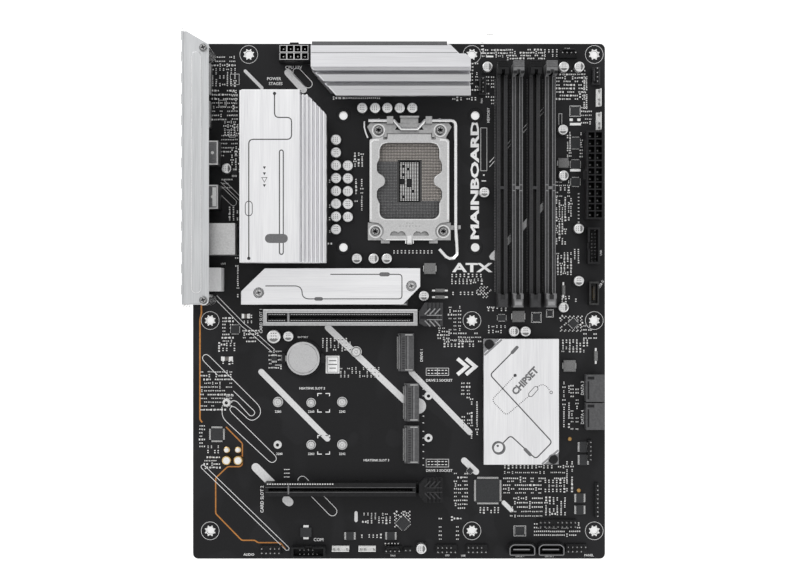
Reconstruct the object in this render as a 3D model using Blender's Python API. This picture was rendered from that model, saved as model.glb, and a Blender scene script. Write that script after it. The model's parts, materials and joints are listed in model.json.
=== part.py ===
"""Standard-size desktop motherboard, built as separate named pieces.

Frame: origin at the centre of the board's underside, +X away from the rear ports,
+Y towards the processor power socket, +Z out of the component side.
Every position and size below is in millimetres; MM turns them into metres.
"""
import math

import bmesh
import bpy
from mathutils import Matrix, Vector

MM = 0.001
GAP = 0.3                       # clearance between pieces that touch

# ---- board ----
BOARD_X = 243.84                # standard board depth, rear edge to front edge
BOARD_Y = 304.8                 # standard board width
BOARD_TOP = 1.6                 # component surface above the standoff plane
PAD = 0.05                      # plated pads stand this much proud of the underside
HALF_X = BOARD_X / 2
HALF_Y = BOARD_Y / 2
CORNER_R = 3.0
ROW_X = (-HALF_X + 10.16, -HALF_X + 165.1, -HALF_X + 237.49)
ROW_Y = (HALF_Y - 6.35, HALF_Y - 163.83, HALF_Y - 288.29)
REAR_TOP_HOLE_X = -HALF_X + 33.02
MOUNT_HOLES = [(REAR_TOP_HOLE_X if row == 0 and x == ROW_X[0] else x, y)
               for row, y in enumerate(ROW_Y) for x in ROW_X]
MOUNT_HOLE_R = 1.98
MOUNT_PAD_R = 4.6
SEAT = BOARD_TOP + GAP          # where parts stand on the board

# ---- processor socket ----
CPU = (6.1, 70.8)               # centre of the socket
COOLER_PITCH = 78.0
COOLER_HOLES = [(CPU[0] + sx * COOLER_PITCH / 2, CPU[1] + sy * COOLER_PITCH / 2)
                for sx in (-1, 1) for sy in (-1, 1)]
COOLER_HOLE_R = 2.1
COOLER_PAD_R = 4.4
SOCKET_POCKET = (37.7, 45.2)    # processor package plus clearance
SOCKET_OUTER = (40.6, 47.6)
SOCKET_FLOOR = 4.2
SOCKET_RIM = 6.0
SOCKET_WELL = (12.4, 24.4)      # opening in the middle of the contact field
BACKPLATE_Z = (-2.5, -GAP)
FRAME_X = (-18.4, 30.6)
FRAME_Y = (36.0, 105.2)
FRAME_Z = (SEAT, 3.4)
ILM_SCREWS = [(-12.1, 100.9), (24.3, 100.9), (-14.0, 41.2), (26.2, 41.2)]
SCREW_SHANK_R = 1.5
SCREW_HOLE_R = 1.9
SCREW_HEAD_R = 3.1
PLATE_Z = (6.4, 7.9)
PLATE_HALF = 23.5
HINGE = (98.0, 6.7)             # load plate hinge axis, Y and Z
LEVER_AXIS = (106.2, 7.4)       # load lever hinge axis, Y and Z
WIRE_R = 1.1
LEVER_X = 33.3                  # arm of the lever

# ---- heatsinks ----
SINK_FOOT = 4.8                 # underside of the feet that stand on the power stages
SINK_BELLY = 12.0               # underside over the coils
SINK_CEILING = 40.0             # above every heatsink
LEFT_SINK_Y = (22.2, 121.2)
LEFT_SINK_TOP = 32.6
RIB_COUNT = 6
RIB_START = -56.0
RIB_PITCH = 2.4
RIB_Z = (28.8, 31.6)
TOP_SINK_X = (-50.6, 41.0)
TOP_SINK_TOP = 31.6
GROOVE_FLOOR = 24.0
OVERHANG_Z = (19.5, 26.5)       # undersides of the left and the top heatsink's inner lips
M2_SINK_Z = (7.2, 10.6)
M2_SINK_SCREWS = [(-82.3, 5.0), (7.2, 9.0)]
CHIPSET_X = (49.6, 93.7)
CHIPSET_Y = (-95.8, -22.0)
CHIPSET_Z = (4.8, 10.6)
CHIPSET_CHIP = (71.6, -58.9)
CHIPSET_PINS = [(52.9, -25.2), (90.5, -92.7)]
COUNTERSINK = 8.6               # floor of the pin recesses and corner facets

# ---- memory slots ----
DIMM_X = (60.4, 69.4, 79.5, 88.7)
DIMM_Y = (-3.5, 133.0)
DIMM_HALF = 3.1
DIMM_TOP = 10.6
TOWER_TOP = 15.0                # cheeks that hold the latch
END_TOWER_TOP = 17.0            # fixed tower at the other end
DIMM_KEY_Y = 66.6
LATCH_PIVOT = (136.4, 5.2)      # Y and Z
LATCH_TOP = 20.6

# ---- expansion slots ----
PCIE_Y = (-9.45, -110.2)
PCIE_X = (-78.6, 9.9)
PCIE_TOP = 12.6
PCIE_HALF = 3.9
PCIE_KEY_X = -64.7
PCIE_PIVOT = (13.4, 4.8)        # X and Z of the end latch's hinge
PCIE_HEAD_END = 25.6            # far edge of the latch's head

# ---- rear ports and shield ----
PORT_FRONT = -124.0
SHIELD_X = (-123.2, -122.4)
SHIELD_Y = (-1.8, 153.2)
SHIELD_Z = (-2.0, 40.6)
FLANGE_EDGE = -107.8
FLANGE_Z = (39.0, 39.8)
PILLARS = [(-111.0, 143.8), (-111.0, 0.9)]
VENT_Y = [56.0 + 14.0 * i for i in range(6)]    # lower ends of the slots in the rear plate

# name: (Y range, inner end in X, top Z, openings as (Y range, Z range) and their depth)
PORTS = {
    "display_port": ((121.2, 139.8), -110.4, 17.6, [((122.6, 138.4), (10.2, 15.2), 7.0)]),
    "hdmi_port": ((102.0, 117.4), -110.8, 9.4, [((103.0, 116.4), (3.4, 8.2), 8.0)]),
    "usb_stack_1": ((79.2, 93.4), -105.0, 18.4,
                    [((80.4, 92.2), (3.6, 8.6), 9.0), ((80.4, 92.2), (11.6, 16.6), 9.0)]),
    "usb_stack_2": ((53.6, 67.8), -105.0, 18.4,
                    [((54.8, 66.6), (3.6, 8.6), 9.0), ((54.8, 66.6), (11.6, 16.6), 9.0)]),
    "lan_usb_stack": ((26.8, 44.9), -94.0, 29.6,
                      [((29.2, 42.5), (3.6, 8.6), 10.0), ((29.2, 42.5), (10.4, 15.4), 10.0),
                       ((29.8, 41.9), (17.4, 28.0), 12.0)]),
    "audio_jacks": ((5.8, 19.6), -103.4, 20.4, []),
}
JACK_Z = (6.6, 15.4)
JACK_Y = 12.7
JACK_R = 2.4
TONGUE_MAX = 6.0                # openings lower than this hold a contact tongue
BUTTON = (148.7, 7.9)           # Y and Z of the rear update button

# ---- connectors ----
POWER_SOCKETS = {"atx_power_24pin": ((109.3, 119.5), (48.0, 99.6), "Y", 12),
                 "cpu_power_8pin": ((-70.5, -52.1), (140.3, 150.1), "X", 4)}
POWER_PITCH = 4.2
POWER_TOP = 14.6
SATA_TOP = 10.6
EDGE_SATA_X = (109.7, 120.6)
EDGE_SATA_Y = ((-59.0, -43.2), (-75.4, -59.6))
LOW_SATA_X = ((64.4, 80.1), (81.5, 97.2))
LOW_SATA_Y = (-149.2, -142.2)
M2_SOCKETS = [((-3.8, 5.2), (-2.6, 19.8)), ((-0.4, 8.8), (-41.3, -18.9)),
              ((3.2, 11.8), (-70.8, -48.4)), ((3.2, 11.8), (-95.7, -73.3))]
M2_TOP = 6.0
CELL = (-56.5, -33.7)           # centre of the coin cell
CELL_R = 9.9

COLLECTION = "motherboard"


# ---- small tools ----
def clear_scene():
    for obj in list(bpy.data.objects):
        bpy.data.objects.remove(obj, do_unlink=True)


def collection(name):
    made = bpy.data.collections.new(name)
    bpy.context.scene.collection.children.link(made)
    return made


def finish(name, colour, roughness, metallic=0.0):
    made = bpy.data.materials.new(name)
    made.use_nodes = True
    shader = made.node_tree.nodes["Principled BSDF"]
    shader.inputs["Base Color"].default_value = (*colour, 1.0)
    shader.inputs["Roughness"].default_value = roughness
    shader.inputs["Metallic"].default_value = metallic
    made.diffuse_color = (*colour, 1.0)
    return made


def link(obj, look):
    PARTS.objects.link(obj)
    if look:
        own = look.copy()
        own.name = obj.name
        obj.data.materials.clear()
        obj.data.materials.append(own)
    return obj


def from_bmesh(name, bm, look=None):
    mesh = bpy.data.meshes.new(name)
    bm.to_mesh(mesh)
    bm.free()
    return link(bpy.data.objects.new(name, mesh), look)


def add_block(bm, x, y, z):
    centre = Vector((sum(x), sum(y), sum(z))) * 0.5 * MM
    size = Vector((x[1] - x[0], y[1] - y[0], z[1] - z[0])) * MM
    matrix = Matrix.Translation(centre) @ Matrix.Diagonal((*size, 1.0))
    bmesh.ops.create_cube(bm, size=1.0, matrix=matrix)


def add_rod(bm, centre, radius, span, axis="Z", sides=16, far_radius=None):
    """A round bar: centre is its place across the axis, span its ends along it."""
    turn = {"X": Matrix.Rotation(math.pi / 2, 4, "Y"),
            "Y": Matrix.Rotation(-math.pi / 2, 4, "X"),
            "Z": Matrix.Identity(4)}[axis]
    middle = sum(span) / 2
    at = {"X": (middle, *centre), "Y": (centre[0], middle, centre[1]), "Z": (*centre, middle)}[axis]
    top = radius if far_radius is None else far_radius
    bmesh.ops.create_cone(bm, cap_ends=True, segments=sides, radius1=radius * MM,
                          radius2=top * MM, depth=(span[1] - span[0]) * MM,
                          matrix=Matrix.Translation(Vector(at) * MM) @ turn)


def block(name, x, y, z, look=None):
    bm = bmesh.new()
    add_block(bm, x, y, z)
    return from_bmesh(name, bm, look)


def blocks(name, boxes, look=None):
    bm = bmesh.new()
    for box in boxes:
        add_block(bm, *box)
    return from_bmesh(name, bm, look)


def rod(name, centre, radius, span, look=None, axis="Z", sides=16, far_radius=None):
    bm = bmesh.new()
    add_rod(bm, centre, radius, span, axis, sides, far_radius)
    return from_bmesh(name, bm, look)


def rods(name, centres, radius, span, look=None, axis="Z", sides=16):
    bm = bmesh.new()
    for centre in centres:
        add_rod(bm, centre, radius, span, axis, sides)
    return from_bmesh(name, bm, look)


def to_mesh(obj, look):
    """Turn a curve object into a welded mesh object of the same name."""
    graph = bpy.context.evaluated_depsgraph_get()
    mesh = bpy.data.meshes.new_from_object(obj.evaluated_get(graph))
    bm = bmesh.new()
    bm.from_mesh(mesh)
    bmesh.ops.remove_doubles(bm, verts=bm.verts, dist=1e-6)
    bmesh.ops.recalc_face_normals(bm, faces=bm.faces)
    bm.to_mesh(mesh)
    bm.free()
    name, matrix = obj.name, obj.matrix_world.copy()
    bpy.data.objects.remove(obj, do_unlink=True)
    made = bpy.data.objects.new(name, mesh)
    made.matrix_world = matrix
    return link(made, look)


def prism(name, loops, span, look=None, axis="Z"):
    """A flat outline, with any further loops as holes, pushed out along an axis.

    The outline's two numbers are XY for Z, YZ for X, and XZ for Y.
    """
    curve = bpy.data.curves.new(name, "CURVE")
    curve.dimensions = "2D"
    curve.fill_mode = "BOTH"
    curve.extrude = (span[1] - span[0]) / 2 * MM
    for loop in loops:
        spline = curve.splines.new("POLY")
        spline.points.add(len(loop) - 1)
        for point, (u, v) in zip(spline.points, loop):
            point.co = (u * MM, v * MM, 0.0, 1.0)
        spline.use_cyclic_u = True
    obj = bpy.data.objects.new(name, curve)
    PARTS.objects.link(obj)
    middle = sum(span) / 2 * MM
    turn = {"Z": Matrix.Identity(4),
            "X": Matrix(((0, 0, 1, 0), (1, 0, 0, 0), (0, 1, 0, 0), (0, 0, 0, 1))),
            "Y": Matrix.Rotation(math.pi / 2, 4, "X")}[axis]
    shift = {"Z": (0, 0, middle), "X": (middle, 0, 0), "Y": (0, middle, 0)}[axis]
    obj.matrix_world = Matrix.Translation(shift) @ turn
    bpy.context.view_layer.update()
    return to_mesh(obj, look)


def wire(name, points, radius, look):
    """A bent wire through points in millimetres, round in section with closed ends."""
    curve = bpy.data.curves.new(name, "CURVE")
    curve.dimensions = "3D"
    curve.bevel_depth = radius * MM
    curve.bevel_resolution = 2
    curve.use_fill_caps = True
    spline = curve.splines.new("POLY")
    spline.points.add(len(points) - 1)
    for point, place in zip(spline.points, points):
        point.co = (*(Vector(place) * MM), 1.0)
    obj = bpy.data.objects.new(name, curve)
    PARTS.objects.link(obj)
    bpy.context.view_layer.update()
    return to_mesh(obj, look)


def boolean(target, tool, operation):
    step = target.modifiers.new(operation.title(), "BOOLEAN")
    step.operation = operation
    step.solver = "EXACT"
    step.object = tool
    tool.hide_render = True
    tool.display_type = "WIRE"
    for home in list(tool.users_collection):
        home.objects.unlink(tool)
    CUTTERS.objects.link(tool)


def cut(target, tool):
    boolean(target, tool, "DIFFERENCE")


def join(target, tool):
    boolean(target, tool, "UNION")


def keep_inside(target, tool):
    boolean(target, tool, "INTERSECT")


def hinge_at(name, place, *pieces):
    """An empty on the joint's axis, which carries the moving pieces."""
    empty = bpy.data.objects.new(name, None)
    PARTS.objects.link(empty)
    empty.location = Vector(place) * MM
    bpy.context.view_layer.update()
    for piece in pieces:
        piece.parent = empty
        piece.matrix_parent_inverse = empty.matrix_world.inverted()


def arc(centre, radius, start, end, steps=6):
    """Points on an arc, angles in degrees."""
    turns = [math.radians(start + (end - start) * i / steps) for i in range(steps + 1)]
    return [(centre[0] + radius * math.cos(a), centre[1] + radius * math.sin(a)) for a in turns]


def rounded(x, y, radius, steps=4):
    """A rectangle with round corners."""
    corners = [((x[1] - radius, y[1] - radius), 0), ((x[0] + radius, y[1] - radius), 90),
               ((x[0] + radius, y[0] + radius), 180), ((x[1] - radius, y[0] + radius), 270)]
    return [p for c, a in corners for p in arc(c, radius, a, a + 90, steps)]


def mirrored(half, centre_x):
    """A closed outline from its right half, given top to bottom as distances from centre_x."""
    right = [(centre_x + dx, y) for dx, y in half]
    left = [(centre_x - dx, y) for dx, y in reversed(half)]
    return right + left


def around(centre, size):
    """The X and Y ranges of a rectangle from its centre and size."""
    return ((centre[0] - size[0] / 2, centre[0] + size[0] / 2),
            (centre[1] - size[1] / 2, centre[1] + size[1] / 2))


# ---- board ----
def make_board():
    outline = rounded((-HALF_X, HALF_X), (-HALF_Y, HALF_Y), CORNER_R)
    board = prism("pcb", [outline], (PAD, BOARD_TOP), LAMINATE)
    sunk = BOARD_TOP - 0.4
    join(board, rods("standoff_pads", MOUNT_HOLES, MOUNT_PAD_R, (0.0, sunk), sides=16))
    join(board, rod("datum_pad", (0.0, 0.0), 1.5, (0.0, sunk), sides=12))
    join(board, rods("cooler_pads", COOLER_HOLES, COOLER_PAD_R, (0.4, BOARD_TOP + PAD), sides=12))
    through = (-3.0, BOARD_TOP + 3.0)
    cut(board, rods("mount_holes", MOUNT_HOLES, MOUNT_HOLE_R, through))
    cut(board, rods("cooler_holes", COOLER_HOLES, COOLER_HOLE_R, through))
    cut(board, rods("ilm_holes", ILM_SCREWS, SCREW_HOLE_R, through, sides=12))


# ---- processor socket ----
def make_backplate():
    plate = prism("ilm_backplate",
                  [rounded((CPU[0] - 27.0, CPU[0] + 27.0), (33.0, 108.8), 7.0),
                   rounded((CPU[0] - 14.0, CPU[0] + 14.0), (54.0, 88.0), 4.0)],
                  BACKPLATE_Z, DARK_STEEL)
    cut(plate, rods("backplate_holes", ILM_SCREWS, SCREW_HOLE_R, (-4.0, 1.0), sides=12))


def make_socket():
    body = block("cpu_socket", *around(CPU, SOCKET_OUTER), (SEAT, SOCKET_RIM), DARK_PLASTIC)
    pocket = block("socket_pocket", *around(CPU, SOCKET_POCKET), (SOCKET_FLOOR, SOCKET_RIM + 2))
    well = block("socket_well", *around(CPU, SOCKET_WELL), (0.0, SOCKET_RIM + 2))
    finger_gaps = blocks("socket_finger_gaps",
                         [((CPU[0] + s * 19.4 - 2, CPU[0] + s * 19.4 + 2),
                           (CPU[1] - 5, CPU[1] + 5), (SOCKET_FLOOR + 0.4, SOCKET_RIM + 2))
                          for s in (-1, 1)])
    for tool in (pocket, well, finger_gaps):
        cut(body, tool)


def make_ilm_frame():
    """Stamped frame round the socket, with lugs for the load plate and clamps for the lever."""
    opening = around(CPU, (SOCKET_OUTER[0] + 1.0, SOCKET_OUTER[1] + 1.0))
    half = [(23.2, FRAME_Y[1]), (25.0, 103.0), (21.8, 97.0), (21.8, 46.5),
            (24.5, 46.5), (24.5, FRAME_Y[0])]
    frame = prism("ilm_frame", [mirrored(half, CPU[0])], FRAME_Z, STEEL)
    cut(frame, block("frame_opening", *opening, (0.0, 6.0)))
    clamp_x = ((-7.2, -3.4), (15.6, 19.4))
    clamps = blocks("lever_clamps", [(x, (104.2, 108.6), (FRAME_Z[0] + 0.2, 9.8)) for x in clamp_x])
    lug_x = ((-8.6, -7.2), (19.4, 20.8))
    lugs = blocks("plate_lugs", [(x, (96.4, 99.6), (FRAME_Z[0] + 0.2, 8.4)) for x in lug_x])
    rear_lip = block("rear_lip", (0.4, 11.8), (107.9, 109.0), (FRAME_Z[0] + 0.2, 8.4))
    lip_floor = block("rear_lip_floor", (0.8, 11.4), (104.8, 108.4),
                      (FRAME_Z[0] + 0.1, FRAME_Z[1] - 0.1))
    catch = block("catch_arm", (30.0, 36.0), (42.2, 44.8), (FRAME_Z[0] + 0.2, FRAME_Z[1] - 0.2))
    catch_post = block("catch_post", (34.9, 36.2), (42.4, 44.6), (FRAME_Z[0] + 0.4, 8.6))
    front_bar = block("front_bar", (CPU[0] - 9.5, CPU[0] + 9.5), (36.4, 38.0), (FRAME_Z[0] + 0.3, 4.6))
    feet = blocks("front_feet", [((CPU[0] + s * 14.2 - 2.6, CPU[0] + s * 14.2 + 2.6), (34.2, 36.6),
                                  (FRAME_Z[0] + 0.2, FRAME_Z[1] - 0.3)) for s in (-1, 1)])
    for tool in (clamps, lugs, lip_floor, rear_lip, catch, catch_post, front_bar, feet):
        join(frame, tool)
    cut(frame, rod("lever_bore", LEVER_AXIS, WIRE_R + 0.35, (-9.0, 21.0), axis="X", sides=16))
    cut(frame, rod("plate_bore", HINGE, 1.1, (-10.0, 22.0), axis="X", sides=12))
    cut(frame, rods("frame_screw_holes", ILM_SCREWS, SCREW_HOLE_R, (0.0, 6.0), sides=12))


def plate_half():
    """Right half of the load plate's outline, cut back round the four screws."""
    top_screw = (ILM_SCREWS[1][0] - CPU[0], ILM_SCREWS[1][1])
    low_screw = (ILM_SCREWS[3][0] - CPU[0], ILM_SCREWS[3][1])
    clear = SCREW_HEAD_R + 1.0
    return ([(13.0, 98.4)] + arc(top_screw, clear + 0.6, 212, 275, 4)
            + [(21.2, 95.6)] + arc((PLATE_HALF - 1.6, 94.0), 1.6, 90, 0, 3)
            + [(PLATE_HALF, 46.6)] + arc(low_screw, clear + 0.8, 100, 232, 8)
            + [(14.6, 35.6)])


def window_half():
    """Right half of the load plate's window, with its ears and the two bumps between them."""
    top, bottom, side, ear, bump = 93.0, 48.4, 17.5, 19.1, 14.3
    return (arc((side - 4.4, top - 4.4), 4.4, 90, 0, 6)
            + [(side, 84.0), (18.4, 82.2), (ear, 80.4), (ear, 77.2), (18.2, 75.4), (15.6, 73.8),
               (14.6, 72.6), (bump, 71.2), (bump, 70.4), (14.6, 69.0), (15.6, 67.8), (18.2, 66.2),
               (ear, 64.4), (ear, 61.2), (18.4, 59.4), (side, 57.6)]
            + arc((side - 4.4, bottom + 4.4), 4.4, 0, -90, 6))


def scallop(x, y):
    """Opening with a flat lower edge and two round lobes side by side."""
    radius, spread = 2.5, 2.1
    meet = math.degrees(math.acos(spread / radius))
    return (arc((x + spread, y), radius, 0, 180 - meet, 5)
            + arc((x - spread, y), radius, meet, 180, 5)[1:])


def make_load_plate():
    plate = prism("load_plate", [mirrored(plate_half(), CPU[0]), mirrored(window_half(), CPU[0])],
                  PLATE_Z, PLATE_STEEL)
    notches = blocks("lug_notches", [((CPU[0] + s * 14.2 - 1.2, CPU[0] + s * 14.2 + 1.2),
                                      (95.2, 100.0), (4.0, 9.0)) for s in (-1, 1)])
    nose = block("plate_nose", (CPU[0] - 1.6, CPU[0] + 1.6), (33.4, 36.6),
                 (PLATE_Z[0] + 0.2, PLATE_Z[1] - 0.2))
    pins = rod("plate_pins", HINGE, 0.75, (-8.4, 20.6), axis="X", sides=12)
    cut(plate, notches)
    join(plate, nose)
    join(plate, pins)
    for side in (-1, 1):
        cut(plate, prism(f"scallop_{side + 1}", [scallop(CPU[0] + side * 6.8, 38.6)],
                         (PLATE_Z[0] - 1, PLATE_Z[1] + 1)))
    hinge_at("load_plate_axis", (CPU[0], *HINGE), plate)


def make_load_lever():
    """Round wire: a crank between the clamps, an arm along the socket, and a hooked grip."""
    y, z = LEVER_AXIS
    low = 43.5
    corner = [(30.6 + 2.7 * math.sin(math.radians(a)), y - 2.7 + 2.7 * math.cos(math.radians(a)), z)
              for a in (0, 30, 60, 90)]
    hook = [(30.4 + 3.9 * math.cos(math.radians(a)), 28.9 + 3.9 * math.sin(math.radians(a)), z + 0.6)
            for a in (20, -20, -60, -100, -135)]
    points = ([(-18.0, y, z), (-3.0, y, z), (1.4, y - 5.0, z), (10.8, y - 5.0, z), (15.2, y, z)]
              + corner + [(LEVER_X, low, z), (LEVER_X + 0.6, 34.0, z + 0.4)] + hook
              + [(23.6, 30.6, z + 0.6)])
    lever = wire("load_lever", points, WIRE_R, LEVER_STEEL)
    hinge_at("load_lever_axis", (CPU[0], *LEVER_AXIS), lever)


def make_ilm_screws():
    for i, (x, y) in enumerate(ILM_SCREWS, 1):
        screw = rod(f"ilm_screw_{i}", (x, y), SCREW_HEAD_R, (FRAME_Z[1] + GAP, 6.0), SCREW_STEEL,
                    far_radius=SCREW_HEAD_R - 0.5)
        join(screw, rod(f"ilm_shank_{i}", (x, y), SCREW_SHANK_R, (-2.2, 4.2), sides=12))
        cut(screw, blocks(f"ilm_drive_{i}", [((x - 1.4, x + 1.4), (y - 0.4, y + 0.4), (4.9, 7.0))]))


# ---- heatsinks ----
def make_left_vrm_heatsink():
    """Plate-topped block with upright ribs along its inner edge, seen end on as X and Z."""
    outer, lip, plate_edge, inner, foot = -91.6, -90.2, -56.8, -41.9, (-57.0, -46.5)
    floor, crest = RIB_Z
    ledge = OVERHANG_Z[0]
    ribs = []
    for i in range(RIB_COUNT):
        left = RIB_START + i * RIB_PITCH
        ribs += [(left, floor), (left + 0.4, crest), (left + 1.4, crest), (left + 1.6, floor)]
    profile = ([(outer, SINK_BELLY), (outer, LEFT_SINK_TOP - 3.0), (lip, LEFT_SINK_TOP - 3.0),
                (lip, LEFT_SINK_TOP), (plate_edge, LEFT_SINK_TOP), (plate_edge, floor)] + ribs
               + [(inner, floor), (inner, ledge), (foot[1], ledge), (foot[1], SINK_FOOT),
                  (foot[0], SINK_FOOT), (foot[0], SINK_BELLY)])
    sink = prism("vrm_heatsink_left", [profile], LEFT_SINK_Y, SILVER, axis="Y")
    corner = [(-56.6, 122.0), (-56.6, 118.6), (-52.7, 118.6), (-40.0, 105.4), (-40.0, 122.0)]
    cut(sink, prism("left_sink_corner", [corner], (0.0, SINK_CEILING)))


def make_top_vrm_heatsink():
    """Stepped block over the upper power stages: bands along X, cut to its plan outline."""
    floor, ledge = GROOVE_FLOOR, OVERHANG_Z[1]
    rear = [(148.3, SINK_BELLY), (148.3, 26.6), (146.9, 28.0), (146.9, TOP_SINK_TOP),
            (134.2, TOP_SINK_TOP), (134.2, 29.8), (132.8, 29.8), (132.2, 31.0)]
    grooves = [(131.9, floor), (130.2, floor), (130.0, 31.0), (126.0, 31.0), (125.8, floor),
               (124.0, floor)]
    front = [(123.8, 29.0), (121.6, 29.0), (121.4, 30.6), (118.0, 30.6), (118.0, ledge), (122.6, ledge)]
    foot = [(122.6, SINK_FOOT), (131.0, SINK_FOOT), (131.0, SINK_BELLY)]
    sink = prism("vrm_heatsink_top", [rear + grooves + front + foot], TOP_SINK_X, SILVER, axis="X")
    left, right = TOP_SINK_X
    plan = [(left, 149.0), (27.9, 149.0), (27.9, 148.3), (34.4, 141.8), (38.0, 141.8),
            (right, 139.4), (right, 117.0), (-35.4, 117.0), (left, 134.1)]
    keep_inside(sink, prism("top_sink_plan", [plan], (0.0, SINK_CEILING)))


def make_m2_heatsink():
    plan = [(-92.6, -2.0), (2.1, -2.0), (12.4, 8.6), (12.4, 19.4), (-78.6, 19.4), (-92.6, 5.8)]
    seat = M2_SINK_Z[1] - 1.4
    above = M2_SINK_Z[1] + 1.4
    sink = prism("m2_heatsink", [plan], M2_SINK_Z, SILVER)
    cut(sink, rods("m2_screw_sinks", M2_SINK_SCREWS, 3.1, (seat, above)))
    cut(sink, rods("m2_screw_holes", M2_SINK_SCREWS, 1.6, (0.0, above), sides=12))
    for i, (x, y) in enumerate(M2_SINK_SCREWS, 1):
        screw = rod(f"m2_heatsink_screw_{i}", (x, y), 2.7, (seat + GAP, 10.9), DARK_STEEL, far_radius=2.3)
        join(screw, rod(f"m2_shank_{i}", (x, y), 1.25, (SEAT, 9.9), sides=12))
        cut(screw, block(f"m2_drive_{i}", (x - 1.3, x + 1.3), (y - 0.35, y + 0.35), (10.2, above)))


def make_chipset():
    (x0, x1), (y0, y1) = CHIPSET_X, CHIPSET_Y
    recess = (COUNTERSINK, CHIPSET_Z[1] + 1.4)
    sink = block("chipset_heatsink", CHIPSET_X, CHIPSET_Y, CHIPSET_Z, SILVER)
    upper_corner = [(x0 - 1, y1 - 9.6), (x0 + 11.0, y1 + 1), (x0 - 1, y1 + 1)]
    lower_corner = [(x1 + 1, y0 + 8.2), (x1 + 1, y0 - 1), (x1 - 10.4, y0 - 1)]
    cut(sink, prism("upper_facet", [upper_corner], recess))
    cut(sink, prism("lower_facet", [lower_corner], recess))
    cut(sink, rods("chipset_pin_sinks", CHIPSET_PINS, 3.2, recess))
    cut(sink, rods("chipset_pin_holes", CHIPSET_PINS, 1.7, (0.0, recess[1]), sides=12))
    package_z = (SEAT, CHIPSET_Z[0] - 0.4)
    block("chipset_package", *around(CHIPSET_CHIP, (24.0, 24.0)), package_z, DARK_PLASTIC)
    for i, (x, y) in enumerate(CHIPSET_PINS, 1):
        pin = rod(f"chipset_pin_{i}", (x, y), 2.9, (COUNTERSINK + GAP, 11.0), BLACK, far_radius=2.5)
        join(pin, rod(f"chipset_pin_shank_{i}", (x, y), 1.3, (SEAT, 9.6), sides=12))


# ---- rear ports ----
def make_ports():
    for name, (y, inner, top, holes) in PORTS.items():
        look = BLACK if name == "audio_jacks" else STEEL
        body = block(name, (PORT_FRONT, inner), y, (SEAT, top), look)
        if name == "display_port":
            cut(body, block("display_step", (-114.0, -100.0), (120.0, 142.0), (9.4, 20.0)))
        if holes:
            cut(body, blocks(f"{name}_cavities",
                             [((PORT_FRONT - 1, PORT_FRONT + deep), hole_y, hole_z)
                              for hole_y, hole_z, deep in holes]))
            tongues = [((PORT_FRONT + 0.8, PORT_FRONT + deep + 0.5), (hy[0] + 1.6, hy[1] - 1.6),
                        (sum(hz) / 2 - 0.6, sum(hz) / 2 + 0.9)) for hy, hz, deep in holes
                       if hz[1] - hz[0] < TONGUE_MAX]
            join(body, blocks(f"{name}_tongues", tongues))
        else:
            bores = [(JACK_Y, z) for z in JACK_Z]
            join(body, rods("jack_collars", bores, 4.0, (PORT_FRONT - 0.8, PORT_FRONT + 1.0),
                            axis="X", sides=16))
            cut(body, rods("jack_bores", bores, JACK_R, (PORT_FRONT - 3, PORT_FRONT + 14),
                           axis="X", sides=12))


def make_shield():
    """Rear plate with a top flange, a pressed rib along the flange and a window for each port."""
    shield = block("io_shield", SHIELD_X, SHIELD_Y, SHIELD_Z, SILVER)
    y0, y1 = SHIELD_Y
    rear = SHIELD_X[0] + 0.2
    flange = ([(rear, y1 - 0.1), (-120.4, y1 - 0.1), (FLANGE_EDGE, y1 - 7.6), (FLANGE_EDGE, y0 + 4.2)]
              + arc((FLANGE_EDGE - 3.2, y0 + 3.2), 3.2, 0, -90, 4) + [(rear, y0 + 0.1)])
    join(shield, prism("shield_flange", [flange], FLANGE_Z))
    rib_x, rib_r, rib_y = -114.9, 2.7, (7.6, 139.0)
    rib = (arc((rib_x, rib_y[1]), rib_r, 0, 180, 8) + arc((rib_x, rib_y[0]), rib_r, 180, 360, 8))
    join(shield, prism("shield_rib", [rib], (FLANGE_Z[1] - 0.2, FLANGE_Z[1] + 0.5)))
    windows = [((SHIELD_X[0] - 2, SHIELD_X[1] + 2), (y[0] - GAP, y[1] + GAP), (SEAT - 0.6, top + GAP))
               for y, _, top, _ in PORTS.values()]
    cut(shield, blocks("shield_windows", windows))
    cut(shield, block("button_window", (-126.0, -120.0), (146.4, 151.0), (5.6, 10.2)))
    cut(shield, rods("shield_screw_holes", PILLARS, 1.7, (36.0, 43.0), sides=12))
    cut(shield, blocks("shield_vents", [((SHIELD_X[0] - 1, SHIELD_X[1] + 1), (y, y + 9.0), (z, z + 2.0))
                                        for z in (24.4, 28.4, 32.4) for y in VENT_Y]))
    for i, (x, y) in enumerate(PILLARS, 1):
        pillar = rod(f"io_pillar_{i}", (x, y), 3.1, (SEAT, FLANGE_Z[0] - GAP), STEEL)
        cut(pillar, rod(f"pillar_thread_{i}", (x, y), 1.7, (30.0, 42.0), sides=12))
        screw = rod(f"io_screw_{i}", (x, y), 2.4, (FLANGE_Z[1] + GAP, 41.4), SCREW_STEEL,
                    far_radius=1.8)
        join(screw, rod(f"io_shank_{i}", (x, y), 1.3, (33.0, 40.6), sides=12))
        cut(screw, blocks(f"io_drive_{i}", [((x - 1.1, x + 1.1), (y - 0.3, y + 0.3), (40.7, 43.0))]))


def make_button():
    """Small rear push button: a cap that slides in a switch body behind the shield."""
    y, z = BUTTON
    body = block("button_switch", (-121.2, -114.6), (y - 3.2, y + 3.2), (SEAT, 12.0), BLACK)
    cut(body, block("button_guide", (-123.0, -118.2), (y - 2.1, y + 2.1), (z - 2.1, z + 2.1)))
    cap = block("rear_button", (-124.6, -119.4), (y - 1.7, y + 1.7), (z - 1.7, z + 1.7), DARK_PLASTIC)
    hinge_at("rear_button_axis", (-124.6, y, z), cap)


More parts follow.
